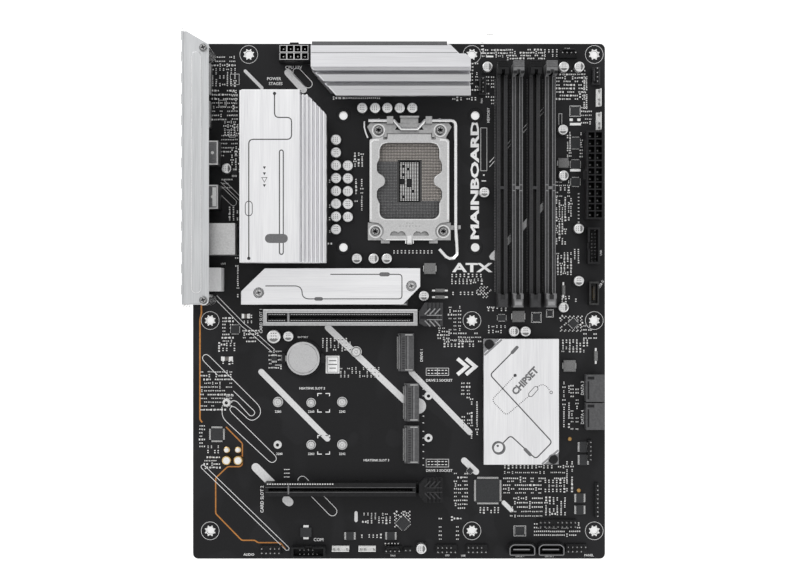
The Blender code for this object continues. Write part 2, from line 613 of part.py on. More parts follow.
# ---- slots ----
def make_dimm_slots():
    for i, x in enumerate(DIMM_X, 1):
        look = BLACK if i % 2 else SLOT_GREY
        y0, y1 = DIMM_Y
        slot = block(f"dimm_slot_{i}", (x - DIMM_HALF, x + DIMM_HALF), (y0 + 7.6, y1), (SEAT, DIMM_TOP),
                     look)
        cheek_y = (y1 - 1.4, LATCH_PIVOT[0] + 2.2)
        towers = [((x - 3.0, x + 3.0), (y0, y0 + 8.0), (SEAT, END_TOWER_TOP)),
                  ((x - 3.2, x - 1.9), cheek_y, (SEAT, TOWER_TOP)),
                  ((x + 1.9, x + 3.2), cheek_y, (SEAT, TOWER_TOP))]
        join(slot, blocks(f"dimm_tower_{i}", towers))
        key = (DIMM_KEY_Y - 0.9, DIMM_KEY_Y + 0.9)
        cut(slot, blocks(f"dimm_groove_{i}", [((x - 1.0, x + 1.0), (y0 + 5.6, key[0]), (4.6, 20.0)),
                                              ((x - 1.0, x + 1.0), (key[1], y1 + 8.0), (4.6, 20.0))]))
        cut(slot, rod(f"dimm_latch_bore_{i}", LATCH_PIVOT, 1.25, (x - 4, x + 4), axis="X", sides=10))
        make_dimm_latch(i, x, look)


def make_dimm_latch(i, x, look):
    y, z = LATCH_PIVOT
    latch = block(f"dimm_latch_{i}", (x - 1.6, x + 1.6), (y - 2.2, y + 1.6), (z - 1.6, 16.4), look)
    join(latch, block(f"dimm_latch_head_{i}", (x - 3.2, x + 3.2), (131.9, 139.6), (15.6, LATCH_TOP)))
    join(latch, rod(f"dimm_latch_pin_{i}", LATCH_PIVOT, 0.9, (x - 3.0, x + 3.0), axis="X", sides=10))
    cut(latch, block(f"dimm_latch_notch_{i}", (x - 0.9, x + 0.9), (130.0, 134.4), (14.0, 22.0)))
    for step in range(3):
        cut(latch, block(f"dimm_grip_{i}_{step}", (x - 4, x + 4),
                         (136.0 + 1.2 * step, 136.5 + 1.2 * step), (20.0, 22.0)))
    hinge_at(f"dimm_latch_axis_{i}", (x, *LATCH_PIVOT), latch)


def make_pcie_slot(i, y, look, head_y):
    x0, x1 = PCIE_X
    pivot_x, pivot_z = PCIE_PIVOT
    shoulder = (pivot_x - 1.8, pivot_x + 1.6)
    slot = block(f"pcie_slot_{i}", PCIE_X, (y - PCIE_HALF, y + PCIE_HALF), (SEAT, PCIE_TOP), look)
    key = (PCIE_KEY_X - 0.9, PCIE_KEY_X + 0.9)
    cut(slot, blocks(f"pcie_groove_{i}", [((x0 + 2.2, key[0]), (y - 0.95, y + 0.95), (4.0, 14.0)),
                                          ((key[1], x1 - 2.0), (y - 0.95, y + 0.95), (4.0, 14.0))]))
    lug_x = (x1 - 0.4, pivot_x + 2.0)
    join(slot, blocks(f"pcie_lugs_{i}", [(lug_x, (y - 3.6, y - 2.4), (SEAT, 7.4)),
                                         (lug_x, (y + 2.4, y + 3.6), (SEAT, 7.4))]))
    cut(slot, rod(f"pcie_bore_{i}", PCIE_PIVOT, 1.25, (y - 5, y + 5), axis="Y", sides=10))
    latch = block(f"pcie_latch_{i}", shoulder, (y - 2.1, y + 2.1), (pivot_z - 1.6, 12.0), look)
    head = [(shoulder[0], y + 3.4), (shoulder[1], head_y[1]), (PCIE_HEAD_END, head_y[1]),
            (PCIE_HEAD_END, head_y[0]), (shoulder[1], head_y[0]), (shoulder[0], y - 3.4)]
    join(latch, prism(f"pcie_head_{i}", [head], (10.4, 13.6)))
    join(latch, rod(f"pcie_pin_{i}", PCIE_PIVOT, 0.9, (y - 3.4, y + 3.4), axis="Y", sides=10))
    grooves = [((16.6 + 2.2 * r, 17.4 + 2.2 * r), (head_y[0] - 1, head_y[1] + 1), (13.0, 15.0))
               for r in range(4)]
    cut(latch, blocks(f"pcie_grooves_{i}", grooves))
    hinge_at(f"pcie_latch_axis_{i}", (pivot_x, y, pivot_z), latch)


def make_pcie_shell():
    """Folded steel cover round the upper slot, open below and over the card groove."""
    y = PCIE_Y[0]
    inner_x = (PCIE_X[0] - GAP, PCIE_X[1] + GAP)
    inner_y = (y - PCIE_HALF - GAP, y + PCIE_HALF + GAP)
    wall = 0.6
    shell = block("pcie_slot_1_shell", (inner_x[0] - wall, inner_x[1] + wall),
                  (inner_y[0] - wall, inner_y[1] + wall), (SEAT, PCIE_TOP + GAP + 0.5), SILVER)
    cut(shell, block("shell_inside", inner_x, inner_y, (0.0, PCIE_TOP + GAP)))
    cut(shell, block("shell_mouth", (PCIE_X[0] + 1.2, PCIE_X[1] - 1.4), (y - 2.7, y + 2.7),
                     (10.0, 16.0)))
    cut(shell, block("shell_latch_gap", (PCIE_X[1] - 0.5, PCIE_X[1] + 3.0), (y - 3.95, y + 3.95),
                     (0.0, 8.0)))


# ---- connectors ----
def make_power_sockets():
    """Two rows of square wells, with the clip's nose on one long side."""
    for name, (x, y, along, count) in POWER_SOCKETS.items():
        body = block(name, x, y, (SEAT, POWER_TOP), BLACK)
        middle = (sum(x) / 2, sum(y) / 2)
        wells = []
        for row in (-0.525 * POWER_PITCH, 0.525 * POWER_PITCH):
            for step in range(count):
                run = (step - (count - 1) / 2) * POWER_PITCH
                dx, dy = (row, run) if along == "Y" else (run, row)
                wells.append((*around((middle[0] + dx, middle[1] + dy), (3.4, 3.4)), (5.0, 16.0)))
        cut(body, blocks(f"{name}_wells", wells))
        if along == "Y":
            clip = ((x[0] - 1.5, x[0] + 0.3), (middle[1] - 2.6, middle[1] + 2.6))
        else:
            clip = ((middle[0] - 2.6, middle[0] + 2.6), (y[1] - 0.3, y[1] + 1.3))
        join(body, block(f"{name}_clip", *clip, (10.6, 12.4)))


def make_headers():
    usb = block("usb_header", (110.7, 117.7), (21.9, 43.4), (SEAT, 10.4), BLACK)
    cut(usb, block("usb_header_mouth", (111.8, 116.6), (23.2, 42.1), (3.6, 12.0)))
    cut(usb, block("usb_header_key", (110.0, 112.4), (30.6, 34.6), (6.4, 12.0)))
    usb_c = block("usb_c_header", (111.6, 117.2), (-2.2, 11.6), (SEAT, 9.8), STEEL)
    cut(usb_c, block("usb_c_mouth", (112.4, 116.4), (-1.0, 10.4), (3.6, 12.0)))
    join(usb_c, block("usb_c_tongue", (114.0, 114.8), (0.6, 8.8), (3.0, 8.6)))
    com = block("com_header", (-63.1, -43.3), (-150.4, -144.3), (SEAT, 10.2), BLACK)
    cut(com, block("com_mouth", (-61.9, -44.5), (-149.5, -145.2), (3.6, 12.0)))
    cut(com, block("com_key", (-55.4, -51.0), (-145.8, -143.4), (6.0, 12.0)))


def make_sata():
    """Two ports that open over the front edge, then two upright ones with keyed outlines."""
    for i, y in enumerate(EDGE_SATA_Y, 1):
        port = block(f"sata_port_{i}", EDGE_SATA_X, y, (SEAT, SATA_TOP), BLACK)
        cut(port, block(f"sata_mouth_{i}", (113.6, 122.0), (y[0] + 1.3, y[1] - 1.3), (3.6, 8.8)))
        join(port, block(f"sata_tongue_{i}", (113.0, 119.4), (y[0] + 2.6, y[1] - 3.4), (5.6, 6.8)))
    for i, x in enumerate(LOW_SATA_X, 3):
        y0, y1 = LOW_SATA_Y
        outline = [(x[0], y0), (x[1], y0), (x[1], y1 - 1.8), (x[1] - 1.8, y1), (x[0] + 1.8, y1),
                   (x[0], y1 - 1.8)]
        port = prism(f"sata_port_{i}", [outline], (SEAT, SATA_TOP), BLACK)
        cut(port, block(f"sata_mouth_{i}", (x[0] + 1.3, x[1] - 1.3), (-148.0, -143.4), (4.4, 12.0)))
        join(port, block(f"sata_tongue_{i}", (x[0] + 2.6, x[1] - 3.4), (-146.2, -145.0), (4.0, 9.6)))


def make_m2_sockets():
    """Card-edge sockets, each with a mouth for the drive and a step over its contacts."""
    for i, (x, y) in enumerate(M2_SOCKETS, 1):
        socket = block(f"m2_socket_{i}", x, y, (SEAT, M2_TOP), BLACK)
        cut(socket, block(f"m2_mouth_{i}", (x[0] - 1, x[0] + 4.6), (y[0] + 1.0, y[1] - 1.0), (3.4, 4.5)))
        cut(socket, block(f"m2_step_{i}", (x[0] - 1, x[0] + 1.6), (y[0] - 1, y[1] + 1), (4.4, 8.0)))


def make_coin_cell():
    x, y = CELL
    reach = (10.5, 12.4)
    holder = rod("coin_cell_holder", (x, y), 11.2, (SEAT, 3.4), BLACK, sides=32)
    arms = [(sorted((x + side * reach[0], x + side * reach[1])), (y - 3.0, y + 3.0), (SEAT + 0.1, 6.9))
            for side in (-1, 1)]
    join(holder, blocks("holder_arms", arms))
    cell = rod("coin_cell", CELL, CELL_R, (3.4 + GAP, 6.6), STEEL, sides=32)
    join(cell, rod("coin_cell_face", CELL, CELL_R - 1.3, (6.0, 6.9), sides=32))


def make_all():
    make_board()
    make_backplate()
    make_socket()
    make_ilm_frame()
    make_load_plate()
    make_load_lever()
    make_ilm_screws()
    make_left_vrm_heatsink()
    make_top_vrm_heatsink()
    make_m2_heatsink()
    make_chipset()
    make_ports()
    make_shield()
    make_button()
    make_dimm_slots()
    make_pcie_slot(1, PCIE_Y[0], SLOT_GREY, (-14.6, -0.8))
    make_pcie_slot(2, PCIE_Y[1], BLACK, (-117.6, -103.2))
    make_pcie_shell()
    make_power_sockets()
    make_headers()
    make_sata()
    make_m2_sockets()
    make_coin_cell()


clear_scene()
PARTS = collection(COLLECTION)
CUTTERS = collection("cutters")
LAMINATE = finish("laminate", (0.022, 0.022, 0.025), 0.45)
BLACK = finish("black_plastic", (0.02, 0.02, 0.022), 0.4)
DARK_PLASTIC = finish("dark_plastic", (0.09, 0.09, 0.09), 0.5)
SLOT_GREY = finish("grey_plastic", (0.3, 0.31, 0.32), 0.5)
SILVER = finish("brushed_silver", (0.8, 0.8, 0.81), 0.3, 0.9)
STEEL = finish("steel", (0.62, 0.62, 0.62), 0.35, 0.9)
PLATE_STEEL = finish("plate_steel", (0.72, 0.72, 0.71), 0.35, 0.9)
LEVER_STEEL = finish("lever_steel", (0.7, 0.7, 0.7), 0.25, 1.0)
SCREW_STEEL = finish("screw_steel", (0.6, 0.6, 0.6), 0.3, 1.0)
DARK_STEEL = finish("dark_steel", (0.15, 0.15, 0.15), 0.4, 0.8)
make_all()
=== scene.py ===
"""Looks of a full-size desktop motherboard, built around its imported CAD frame.

Lengths in the calls below are millimetres in the frame's axes: X runs from the rear ports to
the front edge, Y along the board's long side and Z up from the standoff plane.
"""

import json
import math
import random

import bpy
from mathutils import Matrix, Vector


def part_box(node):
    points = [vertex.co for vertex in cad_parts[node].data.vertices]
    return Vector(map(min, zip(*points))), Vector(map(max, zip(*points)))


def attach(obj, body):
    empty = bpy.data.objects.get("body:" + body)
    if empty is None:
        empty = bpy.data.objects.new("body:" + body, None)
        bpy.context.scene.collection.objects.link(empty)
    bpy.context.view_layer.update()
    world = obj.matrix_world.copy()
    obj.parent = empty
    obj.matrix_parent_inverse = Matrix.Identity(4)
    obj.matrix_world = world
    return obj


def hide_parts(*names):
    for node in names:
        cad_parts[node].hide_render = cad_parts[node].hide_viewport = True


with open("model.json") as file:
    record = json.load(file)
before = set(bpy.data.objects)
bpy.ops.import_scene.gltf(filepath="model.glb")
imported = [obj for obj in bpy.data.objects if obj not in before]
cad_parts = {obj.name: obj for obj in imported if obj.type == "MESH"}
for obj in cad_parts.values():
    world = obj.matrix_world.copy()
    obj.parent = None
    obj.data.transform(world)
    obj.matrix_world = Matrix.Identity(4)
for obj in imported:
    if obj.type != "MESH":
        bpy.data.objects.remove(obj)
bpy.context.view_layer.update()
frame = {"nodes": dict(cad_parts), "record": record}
BODY_OF = {name: body for body, names in frame["record"]["behaviour"]["bodies"].items() for name in names}

MM = 0.001
TOP = 1.6                       # component side of the laminate
SUNK = TOP - 0.02               # foot of whatever is printed or soldered on that side
PRINT = 1.64                    # top of the printed ink
INK = (SUNK, PRINT)             # heights between which the ink lies
FLOOR_Z = -2.7                  # the board rests on the plate behind its socket
CPU_X, CPU_Y = 6.1, 70.8        # middle of the socket
MOUNT_HOLES = [(-88.9, 146.05), (43.18, 146.05), (115.57, 146.05),
               (-111.76, -11.43), (43.18, -11.43), (115.57, -11.43),
               (-111.76, -135.89), (43.18, -135.89), (115.57, -135.89)]
CORNERS = ((-1, -1), (1, -1), (1, 1), (-1, 1))      # of a square, counterclockwise
COOLER_HOLES = [(CPU_X + sx * 39.0, CPU_Y + sy * 39.0) for sx in (-1, 1) for sy in (-1, 1)]
DIMM_X = (60.4, 69.4, 79.5, 88.7)
DIMM_TOP = 10.6                 # face of the memory slots, and their key along Y
DIMM_KEY = 66.6
LATCH_TOP = 20.6
LEFT_TOP = 32.6                 # faces of the left, top, drive and chipset heatsinks
UPPER_TOP = 31.6
DRIVE_TOP = 10.6
FRAME_TOP = 3.4                 # socket frame, load plate and drive sockets
PLATE_TOP = 7.9
CARD_EDGE_TOP = 6.0
PORT_TOP = 10.5                 # serial-ATA ports
STACK_TOP = 18.4                # USB stacks
POWER_TOP = 14.5                # processor power socket
FLANGE_TOP = 40.2               # top flange of the rear shield
SHIELD_X = -123.4               # outer face of the shield's ports
PCIE_Y = (-9.45, -110.2)
PCIE_X = (-78.6, 9.9)
PCIE_TOP = 12.6                 # face of the long slots, and their key along X
PCIE_KEY = -64.7


# ---- shapes ----
class Shape:
    """Closed solids, in millimetres, gathered into one mesh."""

    def __init__(self):
        self.points = []
        self.faces = []
        self.at = Matrix.Identity(4)

    def place(self, x=0.0, y=0.0, z=0.0, turn=0.0):
        """Where the next solids go: turned about Z by degrees, then moved."""
        self.at = Matrix.Translation((x, y, z)) @ Matrix.Rotation(math.radians(turn), 4, "Z")
        return self

    def aim(self, x, y, z, direction):
        """The next solids stand at a point with their Z along a direction."""
        turn = Vector(direction).to_track_quat("Z", "Y").to_matrix().to_4x4()
        self.at = Matrix.Translation((x, y, z)) @ turn
        return self

    def solid(self, points, faces):
        base = len(self.points)
        self.points += [self.at @ Vector(p) for p in points]
        self.faces += [[base + i for i in face] for face in faces]

    def loft(self, rings, closed=False):
        """Skin through rings of points, with flat ends unless the rings close on themselves."""
        n = len(rings[0])
        count = len(rings)
        faces = []
        for r in range(count if closed else count - 1):
            low, high = r * n, ((r + 1) % count) * n
            faces += [[low + i, low + (i + 1) % n, high + (i + 1) % n, high + i] for i in range(n)]
        if not closed:
            faces.append(list(range(n))[::-1])
            faces.append([(count - 1) * n + i for i in range(n)])
        self.solid([p for ring in rings for p in ring], faces)

    def box(self, x, y, z, edge=0.0):
        """Block between pairs of x, y and z; edge chamfers its top."""
        steps = [(z[0], 0.0), (z[1] - edge, 0.0), (z[1], edge)] if edge else [(z[0], 0.0), (z[1], 0.0)]
        self.loft([[(x[0] + i, y[0] + i, h), (x[1] - i, y[0] + i, h),
                    (x[1] - i, y[1] - i, h), (x[0] + i, y[1] - i, h)] for h, i in steps])

    def bar(self, x, y, z, length, width, edge=0.0):
        """Block centred on x, y between the two heights z."""
        self.box((x - length / 2, x + length / 2), (y - width / 2, y + width / 2), z, edge)

    def slab(self, x, y, z, length, width, height, edge=0.0):
        """Block centred on x, y and standing on z."""
        self.bar(x, y, (z, z + height), length, width, edge)

    def turned(self, x, y, profile, sides=20):
        """Solid of revolution about an upright axis; the profile is (height, radius) pairs."""
        self.loft([[(px, py, z) for px, py in circle(x, y, r, sides)] for z, r in profile])

    def disc(self, x, y, radius, z, sides=16):
        """Upright cylinder between the two heights z."""
        self.turned(x, y, [(h, radius) for h in z], sides)

    def ring(self, x, y, inner, outer, z, sides=36):
        """Flat washer between the two heights z."""
        corners = ((inner, z[0]), (outer, z[0]), (outer, z[1]), (inner, z[1]))
        self.loft([[(x + r * c, y + r * s, h) for r, h in corners]
                   for c, s in circle(0.0, 0.0, 1.0, sides)], closed=True)

    def prism(self, outline, z):
        """Straight-sided solid over a flat outline listed counterclockwise."""
        self.loft([[(x, y, h) for x, y in outline] for h in z])

    def ribbon(self, path, width, z=INK, closed=False, blunt=False):
        """Flat strip that follows a path, with round ends unless it is blunt."""
        half = width / 2
        points = [Vector(p) for p in path]
        count = len(points)
        rings = []
        for i, p in enumerate(points):
            before = points[(i - 1) % count] if closed or i else None
            after = points[(i + 1) % count] if closed or i < count - 1 else None
            arms = [d.normalized() for d in (p - before if before else None,
                                             after - p if after else None) if d]
            run = sum(arms, Vector((0.0, 0.0))).normalized()
            side = Vector((-run.y, run.x))
            reach = half / max(0.5, side.dot(Vector((-arms[0].y, arms[0].x))))
            ends = [0.0]
            if not closed and not blunt and i in (0, count - 1):
                ends = [math.radians(a) for a in (0, 30, 55, 78)]
                ends = ends[::-1] if i == 0 else ends
            for a in ends:
                shift = run * (half * math.sin(a) * (-1 if i == 0 else 1))
                wide = side * (reach * math.cos(a))
                left, right = p + shift + wide, p + shift - wide
                rings.append([(right.x, right.y, z[0]), (right.x, right.y, z[1]),
                              (left.x, left.y, z[1]), (left.x, left.y, z[0])])
        self.loft(rings, closed)

    def tube(self, path, radius, sides=8):
        """Round wire along a path of 3-D points."""
        points = [Vector(p) for p in path]
        rings = []
        for i, p in enumerate(points):
            run = (points[min(i + 1, len(points) - 1)] - points[max(i - 1, 0)]).normalized()
            turn = run.to_track_quat("Z", "Y")
            rings.append([p + turn @ Vector((*spot, 0.0)) for spot in circle(0.0, 0.0, radius, sides)])
        self.loft(rings)

    def letters(self, text, x, y, size, turn=0.0, z=TOP, bold=0.012, length=0.0):
        """Printed capitals centred on x, y; a length in millimetres widens them to fit."""
        curve = bpy.data.curves.new("letters", "FONT")
        curve.body = text
        curve.size = size
        curve.align_x = curve.align_y = "CENTER"
        curve.extrude = 0.02
        curve.offset = bold * size
        curve.resolution_u = 2
        holder = bpy.data.objects.new("letters", curve)
        mesh = bpy.data.meshes.new_from_object(holder)
        reach = max(v.co.x for v in mesh.vertices) - min(v.co.x for v in mesh.vertices)
        wide = Vector((length / reach if length else 1.0, 1.0, 1.0))
        self.place(x, y, z + 0.02, turn)
        self.solid([v.co * wide for v in mesh.vertices], [list(f.vertices) for f in mesh.polygons])
        self.place()
        bpy.data.objects.remove(holder)
        bpy.data.meshes.remove(mesh)
        bpy.data.curves.remove(curve)


def shapes(count):
    return [Shape() for _ in range(count)]


def fillet(points, radius, closed=False, steps=4):
    """Path with its corners rounded."""
    out = []
    count = len(points)
    for i in range(count):
        p = Vector(points[i])
        if not closed and i in (0, count - 1):
            out.append(p)
            continue
        back, ahead = Vector(points[i - 1]) - p, Vector(points[(i + 1) % count]) - p
        a = p + back.normalized() * min(radius, back.length * 0.48)
        b = p + ahead.normalized() * min(radius, ahead.length * 0.48)
        for s in range(steps + 1):
            t = s / steps
            out.append(a * (1 - t) ** 2 + p * (2 * t * (1 - t)) + b * t ** 2)
    return out


def capsule(a, b, half, steps=6):
    """Closed outline of the capsule round the segment from a to b."""
    a, b = Vector(a), Vector(b)
    base = math.atan2(b.y - a.y, b.x - a.x)
    out = []
    for centre, start in ((b, -90), (a, 90)):
        for s in range(steps + 1):
            angle = base + math.radians(start + 180 * s / steps)
            out.append(centre + Vector((math.cos(angle), math.sin(angle))) * half)
    return out


def circle(x, y, radius, sides=28):
    """Points evenly round a circle."""
    return [(x + radius * math.cos(math.tau * i / sides), y + radius * math.sin(math.tau * i / sides))
            for i in range(sides)]


# ---- materials ----
def node(tree, kind, **values):
    """New shader node; a value sets its property or, failing that, its input of that name."""
    made = tree.nodes.new(kind)
    for key, value in values.items():
        if hasattr(made, key):
            setattr(made, key, value)
        else:
            made.inputs[key.replace("_", " ")].default_value = value
    return made


def surface(name, colour, rough, metal=0.0, shine=0.5):
    """New material with its Principled shader, and object coordinates to build patterns on."""
    made = bpy.data.materials.new(name)
    made.use_nodes = True
    made.diffuse_color = (*colour, 1.0)
    tree = made.node_tree
    shader = tree.nodes["Principled BSDF"]
    shader.inputs["Base Color"].default_value = (*colour, 1.0)
    shader.inputs["Roughness"].default_value = rough
    shader.inputs["Metallic"].default_value = metal
    shader.inputs["Specular IOR Level"].default_value = shine
    return made, tree, shader, node(tree, "ShaderNodeTexCoord")


def pattern(tree, coords, grain, stretch=(1.0, 1.0, 1.0), detail=3.0):
    """Noise whose grain is stretched along the axes."""
    mapping = node(tree, "ShaderNodeMapping", Scale=stretch)
    noise = node(tree, "ShaderNodeTexNoise", Scale=grain, Detail=detail)
    tree.links.new(coords.outputs["Object"], mapping.inputs["Vector"])
    tree.links.new(mapping.outputs["Vector"], noise.inputs["Vector"])
    return noise.outputs["Fac"]


def levels(tree, value, low, high, to_low=0.0, to_high=1.0):
    """The range from low to high of a value, spread over another range."""
    ramp = node(tree, "ShaderNodeMapRange", clamp=True)
    for key, number in (("From Min", low), ("From Max", high), ("To Min", to_low), ("To Max", to_high)):
        ramp.inputs[key].default_value = number
    tree.links.new(value, ramp.inputs["Value"])
    return ramp.outputs["Result"]


def blend(tree, factor, a, b):
    """Mix of two colours, each a triple or an output."""
    mix = node(tree, "ShaderNodeMix", data_type="RGBA")
    tree.links.new(factor, mix.inputs[0])
    for slot, colour in ((6, a), (7, b)):
        if isinstance(colour, tuple):
            mix.inputs[slot].default_value = (*colour, 1.0)
        else:
            tree.links.new(colour, mix.inputs[slot])
    return mix.outputs[2]


def raise_from(tree, shader, height, depth, strength=1.0):
    """Relief whose depth is in millimetres."""
    bump = node(tree, "ShaderNodeBump", Strength=strength, Distance=depth * MM)
    tree.links.new(height, bump.inputs["Height"])
    tree.links.new(bump.outputs["Normal"], shader.inputs["Normal"])


def tone(colour):
    """A colour's three parts; one number is a neutral grey, and a pair is a grey and its blue."""
    parts = colour if isinstance(colour, tuple) else (colour,)
    return (parts[0],) * (4 - len(parts)) + parts[1:]


def finish(name, colour, other, rough, metal=0.0, grain=900.0, stretch=(1.0, 1.0, 1.0),
           vary=0.05, depth=0.012, shine=0.5, spread=(0.35, 0.65)):
    """Everyday finish: two close colours, uneven gloss and a fine relief."""
    colour, other = tone(colour), tone(other)
    made, tree, shader, coords = surface(name, colour, rough, metal, shine)
    fine = pattern(tree, coords, grain, stretch)
    broad = pattern(tree, coords, grain / 14.0, stretch, 2.0)
    tree.links.new(blend(tree, levels(tree, fine, *spread), colour, other),
                   shader.inputs["Base Color"])
    tree.links.new(levels(tree, broad, 0.3, 0.7, rough - vary, rough + vary), shader.inputs["Roughness"])
    raise_from(tree, shader, fine, depth)
    return made


def brushed(name, colour, other, rough, along):
    """Aluminium with long fine strokes along one axis."""
    colour, other = tone(colour), tone(other)
    stretch = {"X": (0.02, 1.0, 1.0), "Y": (1.0, 0.02, 1.0)}[along]
    made, tree, shader, coords = surface(name, colour, rough, 1.0)
    fine = pattern(tree, coords, 2600.0, stretch)
    broad = pattern(tree, coords, 420.0, stretch, 2.0)
    cloud = pattern(tree, coords, 30.0, (1.0, 1.0, 1.0), 1.0)
    streaks = blend(tree, levels(tree, fine, 0.3, 0.7), colour, other)
    bands = blend(tree, levels(tree, broad, 0.35, 0.75, 0.0, 0.55), streaks, colour)
    tree.links.new(blend(tree, levels(tree, cloud, 0.4, 0.7, 0.0, 0.25), bands, other),
                   shader.inputs["Base Color"])
    tree.links.new(levels(tree, broad, 0.3, 0.7, rough - 0.07, rough + 0.07), shader.inputs["Roughness"])
    raise_from(tree, shader, fine, 0.006)
    return made


def solder_mask(name):
    """Satin black mask over buried copper: bundles of fine tracks show as faint raised lines."""
    made, tree, shader, coords = surface(name, (0.009, 0.009, 0.010), 0.42, 0.0, 0.22)
    lines = []
    for turn, size in ((0.0, 700.0), (45.0, 560.0)):
        mapping = node(tree, "ShaderNodeMapping", Rotation=(0.0, 0.0, math.radians(turn)))
        wave = node(tree, "ShaderNodeTexWave", bands_direction="X", Scale=size, Distortion=0.4)
        tree.links.new(coords.outputs["Object"], mapping.inputs["Vector"])
        tree.links.new(mapping.outputs["Vector"], wave.inputs["Vector"])
        lines.append(levels(tree, wave.outputs["Fac"], 0.55, 0.75))
    patch = levels(tree, pattern(tree, coords, 34.0, (1.0, 0.35, 1.0), 1.0), 0.52, 0.56)
    other_patch = levels(tree, pattern(tree, coords, 41.0, (1.0, 1.0, 1.0), 1.0), 0.58, 0.61)
    factors = []
    for line, area in ((lines[0], patch), (lines[1], other_patch)):
        product = node(tree, "ShaderNodeMath", operation="MULTIPLY")
        tree.links.new(line, product.inputs[0])
        tree.links.new(area, product.inputs[1])
        factors.append(product.outputs[0])
    tracks = node(tree, "ShaderNodeMath", operation="MAXIMUM")
    tree.links.new(factors[0], tracks.inputs[0])
    tree.links.new(factors[1], tracks.inputs[1])
    grain = pattern(tree, coords, 2200.0)
    base = blend(tree, levels(tree, grain, 0.3, 0.7), (0.008, 0.008, 0.009), (0.011, 0.011, 0.012))
    tree.links.new(blend(tree, tracks.outputs[0], base, (0.018, 0.018, 0.020)), shader.inputs["Base Color"])
    tree.links.new(levels(tree, grain, 0.3, 0.7, 0.38, 0.46), shader.inputs["Roughness"])
    raise_from(tree, shader, tracks.outputs[0], 0.02, 0.6)
    return made


def ink(name, colour, other):
    """Screen-printed ink, slightly broken by the mask beneath it."""
    return finish(name, colour, other, 0.62, grain=1500.0, depth=0.01, shine=0.3)


MASK = solder_mask("solder_mask")
WHITE_INK = ink("white_ink", 0.94, 0.82)
GREY_INK = ink("grey_ink", (0.74, 0.745), (0.64, 0.645))
ART_INK = ink("art_ink", (0.045, 0.048), (0.07, 0.073))
GREY_ART = ink("grey_art_ink", (0.125, 0.13), (0.17, 0.175))
COPPER = finish("amber_track", (0.56, 0.24, 0.06), (0.42, 0.17, 0.04), 0.38, 0.35, shine=0.4)
BRUSHED_Y = brushed("aluminium_brushed_y", (0.98, 0.99), (0.82, 0.84), 0.38, "Y")
BRUSHED_X = brushed("aluminium_brushed_x", (0.86, 0.88), (0.74, 0.76), 0.40, "X")
DRIVE_SINK = brushed("aluminium_drive_cover", (0.98, 0.99), (0.85, 0.87), 0.38, "X")
# painted shade: darker copies of the brushed aluminium for the heatsinks' lower steps, groove floors and
# corner facets
STEP_SHADE = brushed("aluminium_step_painted_shade", (0.62, 0.63), (0.54, 0.55), 0.42, "X")
DEEP_SHADE = brushed("aluminium_deep_painted_shade", (0.36, 0.37), (0.28, 0.29), 0.45, "X")
SHIELD = brushed("shield_brushed_y", (0.70, 0.71, 0.72), (0.56, 0.57, 0.58), 0.42, "Y")
STEEL = finish("nickel_steel", 0.52, 0.42, 0.36, 1.0, grain=700.0)
SHELL = finish("slot_cover_steel", (0.54, 0.545), (0.44, 0.445), 0.38, 1.0, grain=900.0)
PLATE = finish("satin_plate_steel", 0.66, 0.56, 0.40, 1.0, grain=1600.0)
BRIGHT = finish("bright_wire_steel", 0.98, 0.86, 0.26, 1.0, grain=1200.0)
SCREW = finish("screw_steel", 0.50, 0.34, 0.34, 1.0, grain=1100.0)
DARK_METAL = finish("black_oxide_steel", 0.07, 0.04, 0.42, 0.9)
CELL = finish("cell_steel", (0.62, 0.625), (0.53, 0.535), 0.50, 1.0, grain=2400.0)
PORT = finish("port_steel", 0.60, 0.50, 0.42, 1.0, grain=1300.0)
USB_STEEL = finish("usb_steel", (0.30, 0.305), (0.22, 0.225), 0.44, 1.0, grain=1300.0)
BLACK = finish("black_moulding", (0.008, 0.009), (0.014, 0.015), 0.46, shine=0.22)
SLATE = finish("slate_moulding", (0.075, 0.078), (0.10, 0.103), 0.48, shine=0.3)
RAIL = finish("rail_grey_moulding", (0.14, 0.144), (0.19, 0.194), 0.48, shine=0.3)
CHARCOAL = finish("charcoal_moulding", (0.030, 0.032), (0.044, 0.046), 0.5, shine=0.3)
SOCKET = finish("socket_moulding", 0.045, 0.062, 0.5, shine=0.3)
IVORY = finish("white_moulding", (0.86, 0.85), (0.78, 0.77), 0.45)
JACK = finish("jack_moulding", (0.76, 0.765), (0.70, 0.705), 0.48)
RIM = finish("rim_grey_moulding", (0.30, 0.305), (0.24, 0.245), 0.45)
TIN = finish("solder_tin", (0.99, 0.985), (0.84, 0.835), 0.36, 0.85, grain=1400.0)
PIN = finish("pin_tin", 0.55, 0.42, 0.34, 1.0, grain=1400.0)
GOLD = finish("contact_gold", (0.84, 0.60, 0.28), (0.68, 0.48, 0.20), 0.30, 1.0)
# painted highlight and painted shade: a light and a dark copy of one contact metal, for socket contacts that
# lean towards or away from the light
LIT_TAB = finish("socket_contact_painted_highlight", (0.92, 0.85, 0.79), (0.74, 0.69, 0.64), 0.45, 0.6)
SHADED_TAB = finish("socket_contact_painted_shade", (0.40, 0.41), (0.28, 0.287), 0.48, 0.65)
CAN = finish("capacitor_can", 0.90, 0.74, 0.32, 1.0, grain=1000.0)
CERAMIC = finish("ceramic_body", (0.17, 0.16, 0.15), (0.11, 0.10, 0.095), 0.5)
RESISTOR = finish("resistor_body", (0.014, 0.015), (0.024, 0.025), 0.4, shine=0.3)
EPOXY = finish("chip_epoxy", (0.026, 0.027, 0.029), (0.040, 0.041, 0.043), 0.5, shine=0.25, grain=1800.0)
FERRITE = finish("coil_powder", 0.11, 0.21, 0.6, grain=1900.0, depth=0.03)
PAD_RUBBER = finish("thermal_pad", (0.10, 0.105), (0.07, 0.075), 0.8, grain=800.0)
BLUE = finish("blue_moulding", (0.02, 0.09, 0.32), (0.03, 0.12, 0.38), 0.42)
LAMP = finish("amber_lens", (0.50, 0.30, 0.09), (0.40, 0.22, 0.06), 0.25, depth=0.004)



